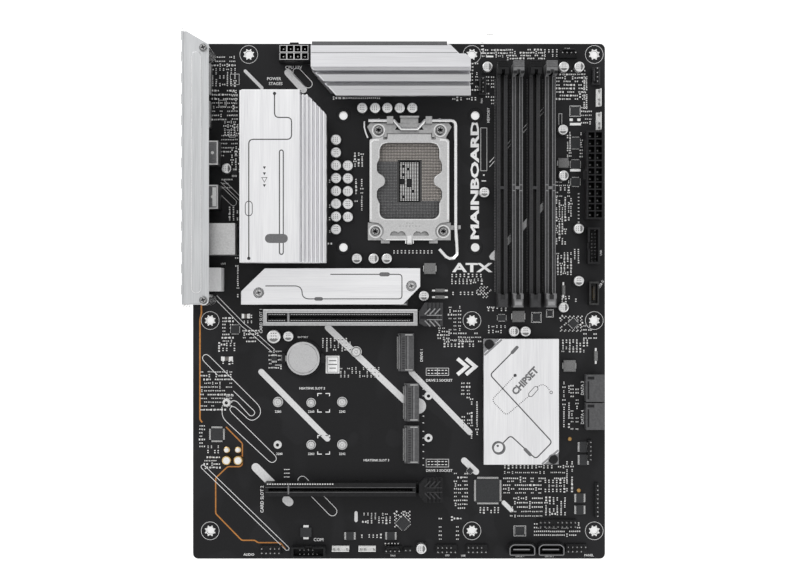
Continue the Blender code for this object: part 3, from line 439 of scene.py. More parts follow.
# ---- making pieces ----
def shade(mesh, angle=38.0):
    """Smooth shading, with the edges sharper than the angle left crisp."""
    mesh.polygons.foreach_set("use_smooth", [True] * len(mesh.polygons))
    mesh.set_sharp_from_angle(angle=math.radians(angle))


def piece(name, shape, look, body="board"):
    """One object of one material, riding on a CAD body."""
    mesh = bpy.data.meshes.new(name)
    mesh.from_pydata([p * MM for p in shape.points], [], shape.faces)
    mesh.materials.append(look)
    shade(mesh)
    made = bpy.data.objects.new(name, mesh)
    bpy.context.scene.collection.objects.link(made)
    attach(made, body)


def refine(look, edge, *names):
    """Finish CAD nodes in one look, with edges rounded by so many millimetres."""
    for name in names:
        refine_one(name, look, edge)


def refine_one(name, look, edge):
    """Copy of a CAD node with softened edges, which stands in its place."""
    mesh = frame["nodes"][name].data.copy()
    made = bpy.data.objects.new(f"{name}_finished", mesh)
    mesh.name = made.name
    bpy.context.scene.collection.objects.link(made)
    mesh.materials.clear()
    mesh.materials.append(look)
    weld = made.modifiers.new("weld", "WELD")
    weld.merge_threshold = 0.004 * MM
    soft = made.modifiers.new("soft", "BEVEL")
    soft.limit_method = "ANGLE"
    soft.angle_limit = math.radians(36)
    soft.width = edge * MM
    soft.segments = 2
    soft.use_clamp_overlap = False
    soft.harden_normals = True
    even = made.modifiers.new("even", "WEIGHTED_NORMAL")
    even.mode = "FACE_AREA"
    even.weight = 100
    even.keep_sharp = True
    bake_modifiers(made)
    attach(made, BODY_OF[name])
    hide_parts(name)


def bake_modifiers(made):
    """The mesh as its modifiers leave it takes the place of the one they start from."""
    shade(made.data, 30.0)
    graph = bpy.context.evaluated_depsgraph_get()
    final = bpy.data.meshes.new_from_object(made.evaluated_get(graph))
    made.modifiers.clear()
    made.data = final


def span(name):
    """A node's box in millimetres: pairs of x, y and z."""
    low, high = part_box(name)
    return [(low[i] / MM, high[i] / MM) for i in range(3)]


# ---- board ----
def make_board():
    refine(MASK, 0.18, "pcb")
    pads = Shape()
    for x, y in MOUNT_HOLES:
        pads.ring(x, y, 1.99, 2.55, (SUNK, 1.66), 32)
        for k in range(8):
            a = math.tau * (k + 0.5) / 8
            petal = [(x + r * math.cos(a), y + r * math.sin(a)) for r in (2.6, 2.9)]
            pads.ribbon(petal, 0.85, (SUNK, 1.67))
    for x, y in COOLER_HOLES:
        pads.ring(x, y, 2.11, 2.5, (TOP, 1.7), 28)
    piece("screw_pads", pads, TIN)


# ---- print ----
LABELS = (
    # text, x, y, height, turn
    ("CPU 12V", -62.4, 138.3, 2.6, 0), ("POWER", -74.0, 131.6, 2.4, 0), ("STAGES", -73.0, 128.7, 2.4, 0),
    ("COM", -47.6, -141.2, 2.6, 0), ("BATTERY", -56.9, -21.3, 1.5, 0),
    ("CARD SLOT 1", -81.6, -11.6, 2.4, 90), ("CARD SLOT 2", -81.0, -117.2, 2.6, 90),
    ("2280", -71.6, -65.4, 1.9, 0), ("2260", -52.0, -65.4, 1.9, 0), ("2242", -33.6, -65.4, 1.9, 0),
    ("2280", -70.8, -90.4, 1.9, 0), ("2260", -52.0, -90.4, 1.9, 0), ("2242", -33.6, -90.4, 1.9, 0),
    ("22110", -100.2, -55.8, 1.8, 0), ("HEATSINK SLOT 2", -51.4, -51.6, 1.9, 0),
    ("HEATSINK SLOT 3", -13.4, -94.2, 1.9, 0), ("DRIVE 2 SOCKET", 23.8, -46.9, 2.1, 0),
    ("DRIVE 3 SOCKET", 23.8, -100.3, 2.1, 0), ("AUDIO", -88.8, -150.0, 2.0, 0),
    ("FAN", 49.0, 118.6, 1.5, 90), ("USB", 119.4, 28.6, 1.9, 90), ("USB C", 119.6, 10.0, 1.9, 60),
    ("LED", 28.6, -150.4, 1.5, 0), ("FAN", -3.6, -150.6, 1.5, 0), ("USB", 38.0, -150.6, 1.5, 0),
    ("DATA 3", 108.6, -51.4, 2.4, 90), ("DATA 4", 108.6, -68.6, 2.4, 90),
    ("PANEL", 112.4, -150.4, 1.9, 0), ("MEMORY", 53.0, 110.0, 2.2, 90), ("LAN", -104.0, 22.2, 1.5, 0),
    ("PUMP", 99.6, 149.4, 1.3, 0), ("DRIVE 1", 13.4, -32.0, 2.2, 90), ("DATA 1", 71.6, -151.0, 1.5, 0),
    ("DATA 2", 89.0, -151.0, 1.5, 0))


def print_lines(p):
    """Outlined capsules, folded lines and pairs of lines, most of them at 45 degrees."""
    for a, b, half, width in (((-60.4, 135.7), (-53.7, 128.6), 2.4, 0.35),
                              ((-116.0, -98.0), (-66.2, -146.4), 1.15, 0.32),
                              ((-57.2, -106.2), (-39.4, -124.4), 2.7, 0.32),
                              ((-106.0, 66.2), (-98.0, 58.4), 1.9, 0.3)):
        p.ribbon(capsule(a, b, half), width, closed=True)
    # one line that folds back and forth beside the drives
    p.ribbon(fillet([(-107.5, -43.7), (-117.2, -33.8), (-114.1, -30.6), (-82.0, -62.6), (-82.0, -68.0),
                     (-87.6, -71.4), (-98.0, -61.6), (-101.0, -64.0), (-71.6, -93.0), (-75.2, -96.4),
                     (-104.6, -69.0), (-104.8, -62.6)], 3.4, steps=6), 0.32)
    p.ribbon(fillet([(-97.9, -53.2), (-84.6, -66.0), (-87.6, -68.6), (-96.6, -58.6),
                     (-100.4, -59.4)], 2.2, steps=6), 0.32)
    # pairs of parallel lines
    for path in ([(-108.5, 2.5), (-91.8, -14.5), (-86.0, -19.0), (-74.4, -29.4)],
                 [(-104.6, 71.0), (-94.0, 60.6)]):
        for shift in (-0.75, 0.75):
            p.ribbon([(x + shift, y + shift) for x, y in path], 0.3)


def print_marks(p):
    """Slanted marks, outlines, brackets and tick rows round the slots, chips and sockets."""
    for x, y in ((84.1, 55.1), (74.4, 45.3), (64.9, 36.0)):
        p.prism([(x - 1.3, y - 3.9), (x + 1.3, y - 0.9), (x + 1.3, y + 3.9), (x - 1.3, y + 0.9)], INK)
    for x, y in ((84.3, 113.1), (74.6, 103.6), (64.8, 93.8), (55.0, 83.8)):
        for drop in (0.0, -2.6):
            p.ribbon([(x - 1.4, y - 1.6 + drop), (x + 1.4, y + 1.6 + drop)], 0.35)
    for x0, y0, x1, y1 in (
            (48.4, 77.2, 52.0, 102.6), (16.1, -43.9, 29.4, -39.6), (16.1, -98.1, 29.4, -93.5),
            (101.0, 115.6, 107.4, 109.4), (78.4, -12.6, 84.2, -6.6), (87.2, -9.4, 91.4, -5.0),
            (94.6, 103.0, 96.4, 111.0), (68.0, -133.0, 75.0, -139.0), (-99.8, 128.2, -94.6, 134.4),
            (-106.6, 115.4, -102.2, 119.0), (-100.4, 97.0, -97.0, 101.4)):
        p.ribbon([(x0, y0), (x1, y0), (x1, y1), (x0, y1)], 0.22, closed=True)
    # divided frames by the drive sockets, each with two rows of dashes
    for y in (-41.8, -95.8):
        p.ribbon([(22.75, y - 1.9), (22.75, y + 1.9)], 0.22)
        for k in range(6):
            for side in (0.9, -0.9):
                p.slab(17.6 + 2.05 * k, y + side, SUNK, 1.3, 0.45, 0.05)
    # broken square brackets on the board under the drives
    for y in (-60.1, -85.0):
        for sx in (-1, 1):
            for sy in (-1, 1):
                x0, y0 = -44.6 + sx * 3.5, y + sy * 5.5
                p.ribbon([(x0 - sx * 2.2, y0), (x0, y0), (x0, y0 - sy * 1.4)], 0.5)
    # tick rows: first x and y, count and step in x and y
    for x, y, count, step_x, step_y in (
            (106.3, 46.8, 9, 0.0, 2.1), (14.4, -97.0, 6, 0.0, 4.0), (14.4, -72.0, 6, 0.0, 4.0),
            (-67.6, -99.6, 3, 1.2, 0.0), (-67.6, -101.8, 3, 1.2, 0.0), (-67.6, -104.0, 3, 1.2, 0.0)):
        for i in range(count):
            p.slab(x + i * step_x, y + i * step_y, SUNK, 0.9, 0.5, 0.05)


def print_words(p):
    """Generic labels, and bold words beside and below the socket."""
    for text, x, y, size, turn in LABELS:
        p.letters(text, x, y, size, turn)
    p.disc(45.2, 32.0, 2.2, INK, 28)
    p.letters("MAINBOARD", 45.1, 71.6, 6.5, 90, bold=0.04, length=70.0)
    p.slab(50.2, 74.7, SUNK, 0.9, 0.9, 0.05)
    p.slab(50.2, 71.2, SUNK, 2.6, 0.6, 0.05)
    p.letters("ATX", 43.3, 19.6, 7.2, 0, bold=0.035, length=24.0)


def make_white_print():
    p = Shape()
    for x, y in MOUNT_HOLES:
        p.ring(x, y, 5.18, 5.38, INK, 48)
    print_lines(p)
    print_marks(p)
    print_words(p)
    x, y = -39.3, -37.5
    p.slab(x, y, SUNK, 8.1, 10.4, 0.06)
    for tip in (34.6, 39.6):
        p.ribbon([(tip, -43.4), (tip + 5.6, -38.7), (tip, -34.0)], 2.2, blunt=True)
    piece("white_print", p, WHITE_INK)
    # the paper tag's frame and three lines
    tag, on_paper = Shape(), (PRINT, 1.68)
    tag.ribbon([(x + sx * 3.2, y + sy * 4.5) for sx, sy in CORNERS], 0.3, on_paper, closed=True)
    for i, reach in enumerate((2.0, 2.4, 1.7)):
        tag.ribbon([(x - reach, -35.2 - 2.2 * i), (x + reach, -35.2 - 2.2 * i)], 0.5, on_paper)
    piece("paper_tag_lines", tag, ART_INK)


def make_grey_print():
    p = Shape()
    for a, b, width in (((-81.5, -41.8), (-42.4, -81.3), 3.5), ((-42.0, -15.6), (3.0, -58.5), 3.8),
                        ((7.3, -42.0), (41.9, -77.6), 3.3), ((-84.8, -98.3), (-74.8, -108.4), 5.0),
                        ((38.6, -94.3), (45.6, -100.9), 3.7), ((62.0, -119.2), (66.4, -123.6), 2.6),
                        ((-65.7, 135.3), (-56.6, 125.3), 4.3), ((-91.0, 136.2), (-81.1, 126.2), 1.9),
                        ((-66.6, -117.6), (-65.0, -118.9), 5.0), ((-25.4, -125.2), (-25.4, -129.8), 1.9)):
        p.ribbon([a, b], width)
    p.prism([(56.8, 24.2), (56.8, 30.4), (54.8, 28.6), (53.4, 26.6), (54.0, 24.8)], INK)
    p.disc(11.4, -62.0, 4.6, INK, 32)
    piece("grey_print", p, GREY_INK)


def make_tracks():
    p = Shape()
    rear = [(-117.0, -2.1), (-116.9, -7.0), (-117.8, -10.8), (-117.8, -70.1), (-116.7, -71.4)]
    lower = [(-102.2, -74.6), (-92.7, -84.2), (-92.7, -96.6), (-94.0, -97.9), (-101.4, -97.9),
             (-108.5, -104.6), (-108.5, -125.7), (-93.1, -141.5), (-85.2, -141.5), (-83.6, -142.9),
             (-70.3, -142.9), (-67.5, -146.4)]
    for path, width in ((rear, 0.9), (lower, 0.75)):
        p.ribbon(fillet(path, 0.8, steps=2), width, (SUNK, 1.63))
    piece("amber_tracks", p, COPPER)


# ---- small parts ----
SOLDER = Shape()                # shared by everything soldered on top
BODIES = {"resistor": Shape(), "ceramic": Shape(), "chip": Shape(), "coil": Shape()}


def stand(kind, x, y, turn):
    """The bodies of one kind and the solder, both placed for the next part."""
    return BODIES[kind].place(x, y, TOP, turn), SOLDER.place(x, y, TOP, turn)


def chip_part(x, y, turn, kind="resistor", length=1.0, width=0.5, height=0.35):
    """Two-terminal part with its pads."""
    end = length * 0.27
    body, solder = stand(kind, x, y, turn)
    body.slab(0, 0, 0, length - end, width, height, 0.04)
    for side in (-1, 1):
        solder.slab(side * (length / 2 + 0.04), 0, -0.02, end + 0.3, width + 0.14, 0.09)
        solder.slab(side * (length / 2 - end / 2), 0, 0, end, width + 0.03, height + 0.03, 0.06)


# length, width and height of the surface parts
LARGE, MEDIUM, SMALL = (1.75, 0.95, 0.7), (1.15, 0.66, 0.42), (0.85, 0.5, 0.3)


def scatter(x, y, columns, rows, pitch, turn=0, miss=0.2, big=0.12, seed=0):
    """Rows of small parts from a top left corner; some places are left empty."""
    draw = random.Random(seed + int(x * 7 + y * 13))
    for row in range(rows):
        plain = draw.random() < 0.3
        for column in range(columns):
            if draw.random() < miss:
                continue
            kind = "ceramic" if draw.random() < 0.4 else "resistor"
            spin = turn + (90 if draw.random() < 0.12 else 0)
            size = LARGE if draw.random() < big else MEDIUM
            if plain:
                size = SMALL
            chip_part(x + column * pitch[0] + draw.uniform(-0.08, 0.08),
                      y - row * pitch[1] + draw.uniform(-0.08, 0.08), spin, kind, *size)


def package_sides(length, width):
    """Turn, length and distance across of each side of a package."""
    return [(0, length, width), (180, length, width), (90, width, length), (270, width, length)]


def legged_chip(x, y, length, width, height, legs, turn=0, four=False, reach=1.0):
    """Package with gull-wing leads on two or four sides."""
    body, solder = stand("chip", x, y, turn)
    body.slab(0, 0, 0.12, length, width, height, 0.12)
    knee = height * 0.42
    for spin, run, depth in package_sides(length, width)[:4 if four else 2]:
        pitch = run * 0.9 / legs
        solder.place(x, y, TOP, turn + spin)
        for i in range(legs):
            along = (i - (legs - 1) / 2) * pitch
            lead = (along - pitch * 0.27, along + pitch * 0.27)
            solder.box(lead, (depth / 2 - 0.05, depth / 2 + reach * 0.45), (knee, knee + 0.16))
            solder.box(lead, (depth / 2 + reach * 0.35, depth / 2 + reach), (-0.02, knee + 0.16), 0.1)


def flat_chip(x, y, length, width, height=1.0, turn=0, pads=6):
    """Leadless package with a row of pads along each side."""
    body, solder = stand("chip", x, y, turn)
    body.slab(0, 0, 0.0, length, width, height, 0.06)
    for spin, run, depth in package_sides(length, width):
        solder.place(x, y, TOP, turn + spin)
        for i in range(pads):
            along = (i - (pads - 1) / 2) * run * 0.85 / pads
            solder.slab(along, depth / 2 + 0.15, -0.02, run * 0.4 / pads, 0.5, 0.1)


def coil(x, y, size, height=3.0):
    """Moulded power coil on two broad terminals."""
    body, solder = stand("coil", x, y, 0)
    body.slab(0, 0, 0.1, size, size * 0.94, height, 0.3)
    for side in (-1, 1):
        solder.slab(side * size / 2, 0, -0.02, 0.9, size * 0.5, 0.9, 0.1)


def diode(x, y, turn, length=5.6):
    """Long two-ended part lying between two pads."""
    body, solder = stand("coil", x, y, turn)
    body.slab(0, 0, 0.0, length, 2.1, 1.9, 0.45)
    for side in (-1, 1):
        solder.slab(side * (length / 2 + 0.9), 0, -0.02, 2.0, 1.1, 0.5, 0.1)


PATCHES = [
    # left x, top y, columns, rows, pitch, turn
    (49.8, 148.6, 8, 3, (1.93, 1.8), 0), (64.4, 148.8, 11, 4, (2.1, 1.73), 0),
    (86.4, 148.2, 4, 2, (2.33, 2.8), 90), (43.0, 140.6, 2, 9, (3.0, 1.95), 0),
    (32.4, 119.8, 8, 1, (2.14, 1.4), 90), (52.4, 132.6, 2, 9, (3.0, 1.95), 0),
    (94.0, 136.4, 8, 9, (2.19, 2.1), 0), (109.6, 132.4, 2, 9, (1.4, 2.2), 90),
    (108.6, 114.6, 3, 5, (2.25, 2.27), 0), (99.8, 99.4, 2, 8, (1.4, 1.93), 90),
    (107.8, 99.0, 1, 8, (1.4, 1.93), 0), (93.4, 70.6, 4, 5, (2.33, 2.1), 0),
    (93.2, 60.8, 4, 14, (1.73, 2.02), 90), (94.0, 28.2, 5, 7, (1.95, 1.95), 90),
    (100.4, 60.0, 2, 6, (1.4, 2.24), 90), (31.4, 15.2, 8, 1, (2.43, 1.4), 90),
    (31.4, 12.6, 9, 2, (2.2, 1.5), 90), (32.0, 4.6, 7, 1, (2.27, 2.0), 90),
    (46.4, 8.2, 5, 4, (1.88, 1.87), 45), (30.2, -3.6, 3, 10, (2.85, 2.2), 0),
    (23.8, -16.0, 3, 5, (2.55, 2.0), 0), (36.6, -19.0, 6, 3, (2.24, 2.4), 0),
    (53.0, -3.6, 5, 2, (2.55, 1.3), 90), (53.2, -15.0, 5, 2, (2.4, 3.0), 90),
    (96.0, -9.4, 6, 5, (2.38, 2.0), 45), (110.0, -14.6, 3, 4, (3.0, 2.4), 0),
    (-3.0, 29.2, 11, 1, (2.24, 1.4), 90), (-116.6, -41.8, 9, 11, (2.13, 2.24), 0),
    (-106.4, -25.6, 5, 2, (2.25, 3.0), 90), (-106.0, -36.2, 5, 1, (1.88, 1.5), 90),
    (-76.2, -29.8, 4, 5, (2.13, 2.4), 0), (-45.0, -22.8, 8, 4, (2.29, 2.0), 90),
    (-34.4, -39.8, 11, 3, (2.24, 2.25), 90), (-117.2, -73.8, 2, 7, (1.5, 2.02), 0),
    (-113.0, -86.2, 4, 2, (2.0, 2.8), 90), (-114.4, -92.4, 5, 4, (1.88, 2.0), 0),
    (-20.6, -126.0, 8, 3, (2.19, 2.25), 90), (-22.0, -139.0, 6, 1, (2.24, 1.5), 90),
    (24.8, -23.0, 10, 2, (2.13, 3.0), 90), (37.8, -48.6, 2, 6, (3.2, 2.1), 0),
    (43.0, -58.0, 2, 11, (3.2, 2.24), 90), (38.0, -66.4, 2, 5, (3.2, 2.0), 0),
    (97.0, -23.6, 8, 4, (2.06, 2.0), 90), (97.6, -48.4, 2, 11, (3.0, 2.52), 90),
    (102.4, -50.0, 2, 13, (3.0, 2.13), 0), (33.4, -102.0, 2, 10, (2.4, 2.27), 0),
    (38.2, -102.0, 2, 10, (1.5, 2.27), 0), (46.0, -122.8, 7, 2, (2.13, 1.6), 90),
    (62.6, -98.0, 16, 1, (2.32, 1.6), 90), (62.6, -101.4, 16, 2, (2.32, 3.4), 0),
    (62.6, -106.6, 10, 4, (2.31, 2.27), 0), (86.6, -106.6, 6, 3, (2.24, 2.7), 90),
    (66.4, -116.6, 9, 5, (2.2, 2.62), 0), (87.0, -117.0, 6, 5, (2.24, 2.19), 90),
    (80.8, -131.8, 12, 4, (2.32, 2.2), 0), (99.4, -95.6, 2, 8, (3.0, 2.29), 90),
    (-2.0, -125.0, 5, 5, (2.0, 2.0), 45), (-8.0, -144.0, 5, 1, (1.88, 1.4), 90),
    (22.0, -128.6, 8, 1, (2.33, 1.4), 0), (24.4, -133.6, 2, 4, (10.2, 2.4), 0),
    (-112.0, 144.4, 8, 3, (2.06, 2.4), 0), (-110.4, 137.2, 7, 5, (2.22, 2.25), 90),
    (-111.8, 124.6, 8, 8, (2.19, 2.44), 0), (-98.0, 124.0, 2, 10, (1.5, 2.31), 0),
    (-103.0, 106.0, 5, 4, (1.88, 2.27), 90), (-104.4, 98.0, 5, 6, (2.0, 2.38), 0),
    (-98.8, 90.0, 3, 7, (2.25, 2.13), 90), (-104.0, 72.0, 3, 3, (2.25, 2.4), 0),
    (-100.2, 55.0, 3, 4, (2.25, 2.13), 90), (-96.0, 45.0, 1, 11, (1.5, 2.42), 0),
    (-95.4, 19.0, 1, 9, (1.5, 2.25), 90), (-103.6, -10.0, 3, 8, (2.25, 1.93), 0),
    (-91.6, -9.0, 4, 2, (2.13, 3.2), 90), (-91.6, -17.4, 5, 4, (2.0, 2.13), 0),
    (-41.0, 71.0, 1, 6, (1.5, 7.4), 90), (-26.0, 87.0, 3, 4, (2.1, 2.13), 90),
    (-25.4, 71.4, 2, 8, (3.4, 2.43), 90), (-38.6, 120.2, 12, 1, (2.4, 1.5), 0),
    (96.6, 2.2, 5, 2, (2.0, 1.6), 90), (104.0, 30.0, 2, 4, (2.2, 2.2), 90)]

SOCKET_CANS = ([(x, 113.6) for x in (-21.7, -14.1, -6.9, 0.4, 7.8)]
               + [(-37.1, 95.0 - 7.53 * i) for i in range(8)] + [(-30.1, 79.8 - 7.55 * i) for i in range(5)])
CANS = SOCKET_CANS + [
    (-24.8, 25.1), (-15.0, 25.1), (-7.2, 25.1), (52.0, 137.8), (96.9, 137.8), (106.0, 137.8),
    (96.4, 100.8), (96.8, 73.9), (50.2, 64.1), (105.7, 42.7), (105.7, 11.9), (96.7, -3.6),
    (14.6, 3.1), (67.6, -17.7), (74.4, -17.7), (-101.4, 78.0), (-65.1, -20.6), (13.1, -145.4)]
CAN_SIZE = (3.05, 8.4)          # radius and height of the lid
BIG_CAN = (-73.6, -20.8, 4.0, 9.6)      # x, y, radius and height
AUDIO_CANS = [(-101.6, -93.8), (-94.8, -93.8)]
AUDIO_BUTTONS = [(-101.8, -87.9), (-95.2, -87.9)]


def make_chips():
    legged_chip(52.5, -112.0, 14.0, 14.0, 1.4, 32, four=True, reach=1.1)
    legged_chip(-107.7, -78.7, 7.2, 7.2, 1.2, 12, four=True)
    for x, y, length, width, legs, turn in (
            (109.0, -86.2, 6.4, 4.4, 8, 90), (109.0, -93.8, 6.4, 4.4, 8, 90),
            (107.0, -116.4, 5.6, 4.4, 8, 90), (107.0, -123.4, 5.6, 4.4, 8, 90),
            (-29.0, -138.8, 5.0, 4.6, 8, 90), (-4.8, -138.8, 5.0, 4.6, 8, 90),
            (-97.4, 76.0, 3.4, 2.8, 4, 0), (-73.8, -33.8, 3.4, 2.8, 4, 0)):
        legged_chip(x, y, length, width, 1.1, legs, turn, reach=1.1)
    for x, y, length, width, turn in (
            (-97.0, -16.7, 5.0, 5.0, 0), (104.2, 112.4, 5.2, 5.2, 0), (60.8, -9.8, 4.8, 3.6, 0),
            (71.5, -135.8, 5.4, 5.0, 0), (2.5, -131.4, 6.6, 6.6, 45), (103.1, -13.1, 4.6, 4.6, 45),
            (81.3, -9.6, 4.4, 4.6, 0), (89.3, -7.2, 3.2, 3.4, 0), (104.4, 93.6, 5.4, 6.6, 0),
            (104.4, 81.0, 5.6, 5.0, 0), (104.4, 70.6, 5.2, 5.0, 0), (42.0, -100.4, 3.0, 3.0, 45)):
        flat_chip(x, y, length, width, turn=turn)


def make_small_parts():
    for i, (x, y, columns, rows, pitch, turn) in enumerate(PATCHES):
        scatter(x, y, columns, rows, pitch, turn, seed=i)
    make_chips()
    for x, y, size in ((97.0, 81.6, 6.2), (18.2, 19.3, 6.9), (70.5, -9.0, 7.2), (100.7, -38.2, 7.2)):
        coil(x, y, size)
    for x, y, turn in ((24.2, 6.3, 0), (24.2, 2.4, 0), (97.2, 6.6, 90), (116.4, -32.4, 90)):
        diode(x, y, turn)
    chip_part(-101.8, -34.0, 0, "ceramic", 5.2, 2.4, 1.2)
    chip_part(-90.6, -8.8, 0, "ceramic", 3.6, 2.6, 1.2)
    SOLDER.place()
    for x, y, length, width in ((101.8, 107.3, 2.0, 1.6), (106.4, 107.3, 2.0, 1.6),
                                (104.3, 104.7, 6.6, 1.6), (104.3, 77.4, 6.4, 1.5)):
        SOLDER.slab(x, y, TOP, length, width, 0.9, 0.12)
    legged_chip(-55.0, -136.6, 6.6, 5.6, 1.6, 1, reach=1.4)
    for i in range(4):
        chip_part(101.0 + 2.1 * i, -29.0, 90, "ceramic", 1.6, 0.8, 0.6)
    piece("solder_terminals", SOLDER, TIN)
    for kind, look, slot in (("resistor", RESISTOR, "black_plastic"), ("ceramic", CERAMIC, "black_plastic"),
                             ("chip", EPOXY, "black_plastic"), ("coil", FERRITE, "grey_plastic")):
        piece(f"{kind}_bodies", BODIES[kind], look)


def can_profile(radius, height):
    """Profile of a crimped aluminium can, from its foot to the rolled rim of its lid."""
    z = TOP + 0.9
    waist, belly, rim = radius * 0.9, radius * 0.97, radius * 0.86
    return [(z, waist), (z + 0.3, belly), (z + 0.9, belly), (z + 1.1, waist), (z + 1.4, waist),
            (z + 1.7, radius), (height - 0.5, radius), (height - 0.15, radius * 0.94), (height, rim),
            (height, radius * 0.78), (height - 0.12, radius * 0.75)]


def make_capacitors():
    cans, bases, marks, gold, lids = shapes(5)
    for i, (x, y, radius, height) in enumerate([(*spot, *CAN_SIZE) for spot in CANS] + [BIG_CAN]):
        cans.turned(x, y, can_profile(radius, height), 28)
        bases.place(x, y, 0.0, 90.0 * (i % 4))
        r = radius * 1.04
        cut = r * 0.45
        bases.prism([(-r, -r), (r - cut, -r), (r, cut - r), (r, r - cut), (r - cut, r), (-r, r)],
                    (TOP + 0.02, TOP + 1.0))
        marks.place(x, y, height - 0.13, 90.0 * (i % 2))
        if i >= len(SOCKET_CANS):
            arc, r = [math.radians(205 + 13 * k) for k in range(11)], radius * 0.72
            marks.prism([(r * math.cos(a), r * math.sin(a)) for a in arc], (0.0, 0.06))
        for row in (-0.28, 0.12, 0.5):
            for column in (-1, 0, 1):
                marks.slab(column * radius * 0.33, row * radius, 0.0, radius * 0.2, radius * 0.12, 0.05)
    for x, y in AUDIO_CANS:
        gold.turned(x, y, [(TOP, 2.9), (TOP + 1.2, 2.9), (TOP + 1.6, 2.6), (6.6, 2.6), (6.9, 2.3),
                           (6.9, 2.0), (6.7, 1.9)], 26)
        lids.turned(x, y, [(6.6, 2.05), (6.85, 2.05), (6.95, 1.8)], 26)
    for x, y in AUDIO_BUTTONS:
        gold.turned(x, y, [(TOP, 1.8), (2.6, 1.8), (2.8, 1.4)])
        lids.turned(x, y, [(2.6, 1.35), (4.6, 1.35), (5.0, 0.9)])
    piece("capacitor_cans", cans, CAN)
    piece("capacitor_feet", bases, BLACK)
    piece("capacitor_marks", marks, FERRITE)
    piece("audio_capacitors", gold, GOLD)
    piece("audio_capacitor_lids", lids, IVORY)


# ---- cooling ----
def raised(z):
    """Heights of a thin layer that shows a little above the face z."""
    return (z - 0.03, z + 0.03)


def engrave(shape, path, width, z, closed=False):
    """Line printed on the face z."""
    shape.ribbon(path, width, raised(z), closed)


def make_heatsink_painted_shade():
    """Painted shade on the heatsinks: greyer strips on the top one's ribs and lower steps, darker ones in its
    grooves and along its rear, and darker facets and folds at the chipset one's corners.
    """
    def slanted_end(y):
        """Where the top heatsink's oblique end crosses a line along X."""
        return -35.0 - 0.889 * (y - 117.0)

    grey, deep_shade, edge = shapes(3)
    # painted shade: greyer strips on the top heatsink's lower steps, darker ones on its groove floors
    for shape, y0, y1, z in (
            (grey, 126.2, 129.9, 31.0), (grey, 118.2, 121.3, 30.6), (grey, 132.9, 134.1, 29.8),
            (grey, 121.7, 123.7, 29.0), (deep_shade, 130.3, 131.8, 24.0), (deep_shade, 124.1, 125.7, 24.0)):
        shape.prism([(slanted_end(y0) + 0.5, y0), (40.6, y0), (40.6, y1), (slanted_end(y1) + 0.5, y1)],
                    (z - 0.02, z + 0.05))
    # painted shade: a dark wedge behind the top heatsink's rear edge and a dark strip along that edge
    edge.loft([[(x, 149.8, 24.6), (x, 147.0, 24.6), (x, 147.0, 28.1), (x, 149.8, 25.3)]
               for x in (-50.2, 27.6)])
    edge.box((-50.2, 27.6), (146.5, 147.0), (UPPER_TOP - 0.6, UPPER_TOP + 0.04))
    piece("heatsink_rear_painted_shade", edge, SLATE)
    # a thin dark line across the top heatsink's face, in the painted-shade aluminium
    deep_shade.ribbon([(-50.2, 142.3), (33.2, 142.3)], 0.4, (UPPER_TOP - 0.02, UPPER_TOP + 0.03), blunt=True)
    (x0, x1), (y0, y1), _ = span("chipset_heatsink")
    # painted shade on the chipset heatsink's two corner facets and along their folds
    for corner in ([(x0 + 0.1, y1 - 8.6), (x0 + 9.7, y1 - 0.1), (x0 + 0.1, y1 - 0.1)],
                   [(x1 - 0.1, y0 + 0.1), (x1 - 9.0, y0 + 0.1), (x1 - 0.1, y0 + 7.2)]):
        deep_shade.prism(corner, (8.58, 8.66))
    for fold in ([(x0 + 0.4, y1 - 9.6), (x0 + 10.6, y1 - 0.4)],
                 [(x1 - 10.0, y0 + 0.4), (x1 - 0.4, y0 + 8.6)]):
        deep_shade.ribbon(fold, 1.1, (DRIVE_TOP - 0.02, DRIVE_TOP + 0.03), blunt=True)
    piece("heatsink_step_painted_shade", grey, STEP_SHADE)
    piece("heatsink_deep_painted_shade", deep_shade, DEEP_SHADE)


def left_heatsink_art(art, grey, z=LEFT_TOP):
    """A folded line with a dot at each end, two capsules and a column of arrow heads."""
    engrave(art, fillet([(-71.2, 118.4), (-71.2, 105.1), (-61.5, 105.1), (-61.5, 92.6), (-85.9, 92.6),
                         (-85.9, 24.8)], 2.6), 0.62, z)
    for x, y in ((-71.2, 118.8), (-85.9, 24.6)):
        art.disc(x, y, 0.95, raised(z))
    engrave(art, capsule((-85.9, 50.9), (-85.9, 55.3), 2.0), 0.42, z, closed=True)
    engrave(art, capsule((-67.3, 28.0), (-67.3, 85.4), 1.1), 0.6, z, closed=True)
    for y, s in ((76.4, 0.9), (73.0, 0.9), (69.6, 1.5), (66.2, 0.9)):
        head = [(-77.0 - s, y + s * 0.8), (-77.0, y - s), (-77.0 + s, y + s * 0.8)]
        if s > 1.0:
            engrave(art, head, 0.3, z, closed=True)
        else:
            art.prism(head, raised(z))
    grey.ribbon([(-74.1, 36.0), (-66.2, 36.0)], 5.2, (z, z + 0.05))


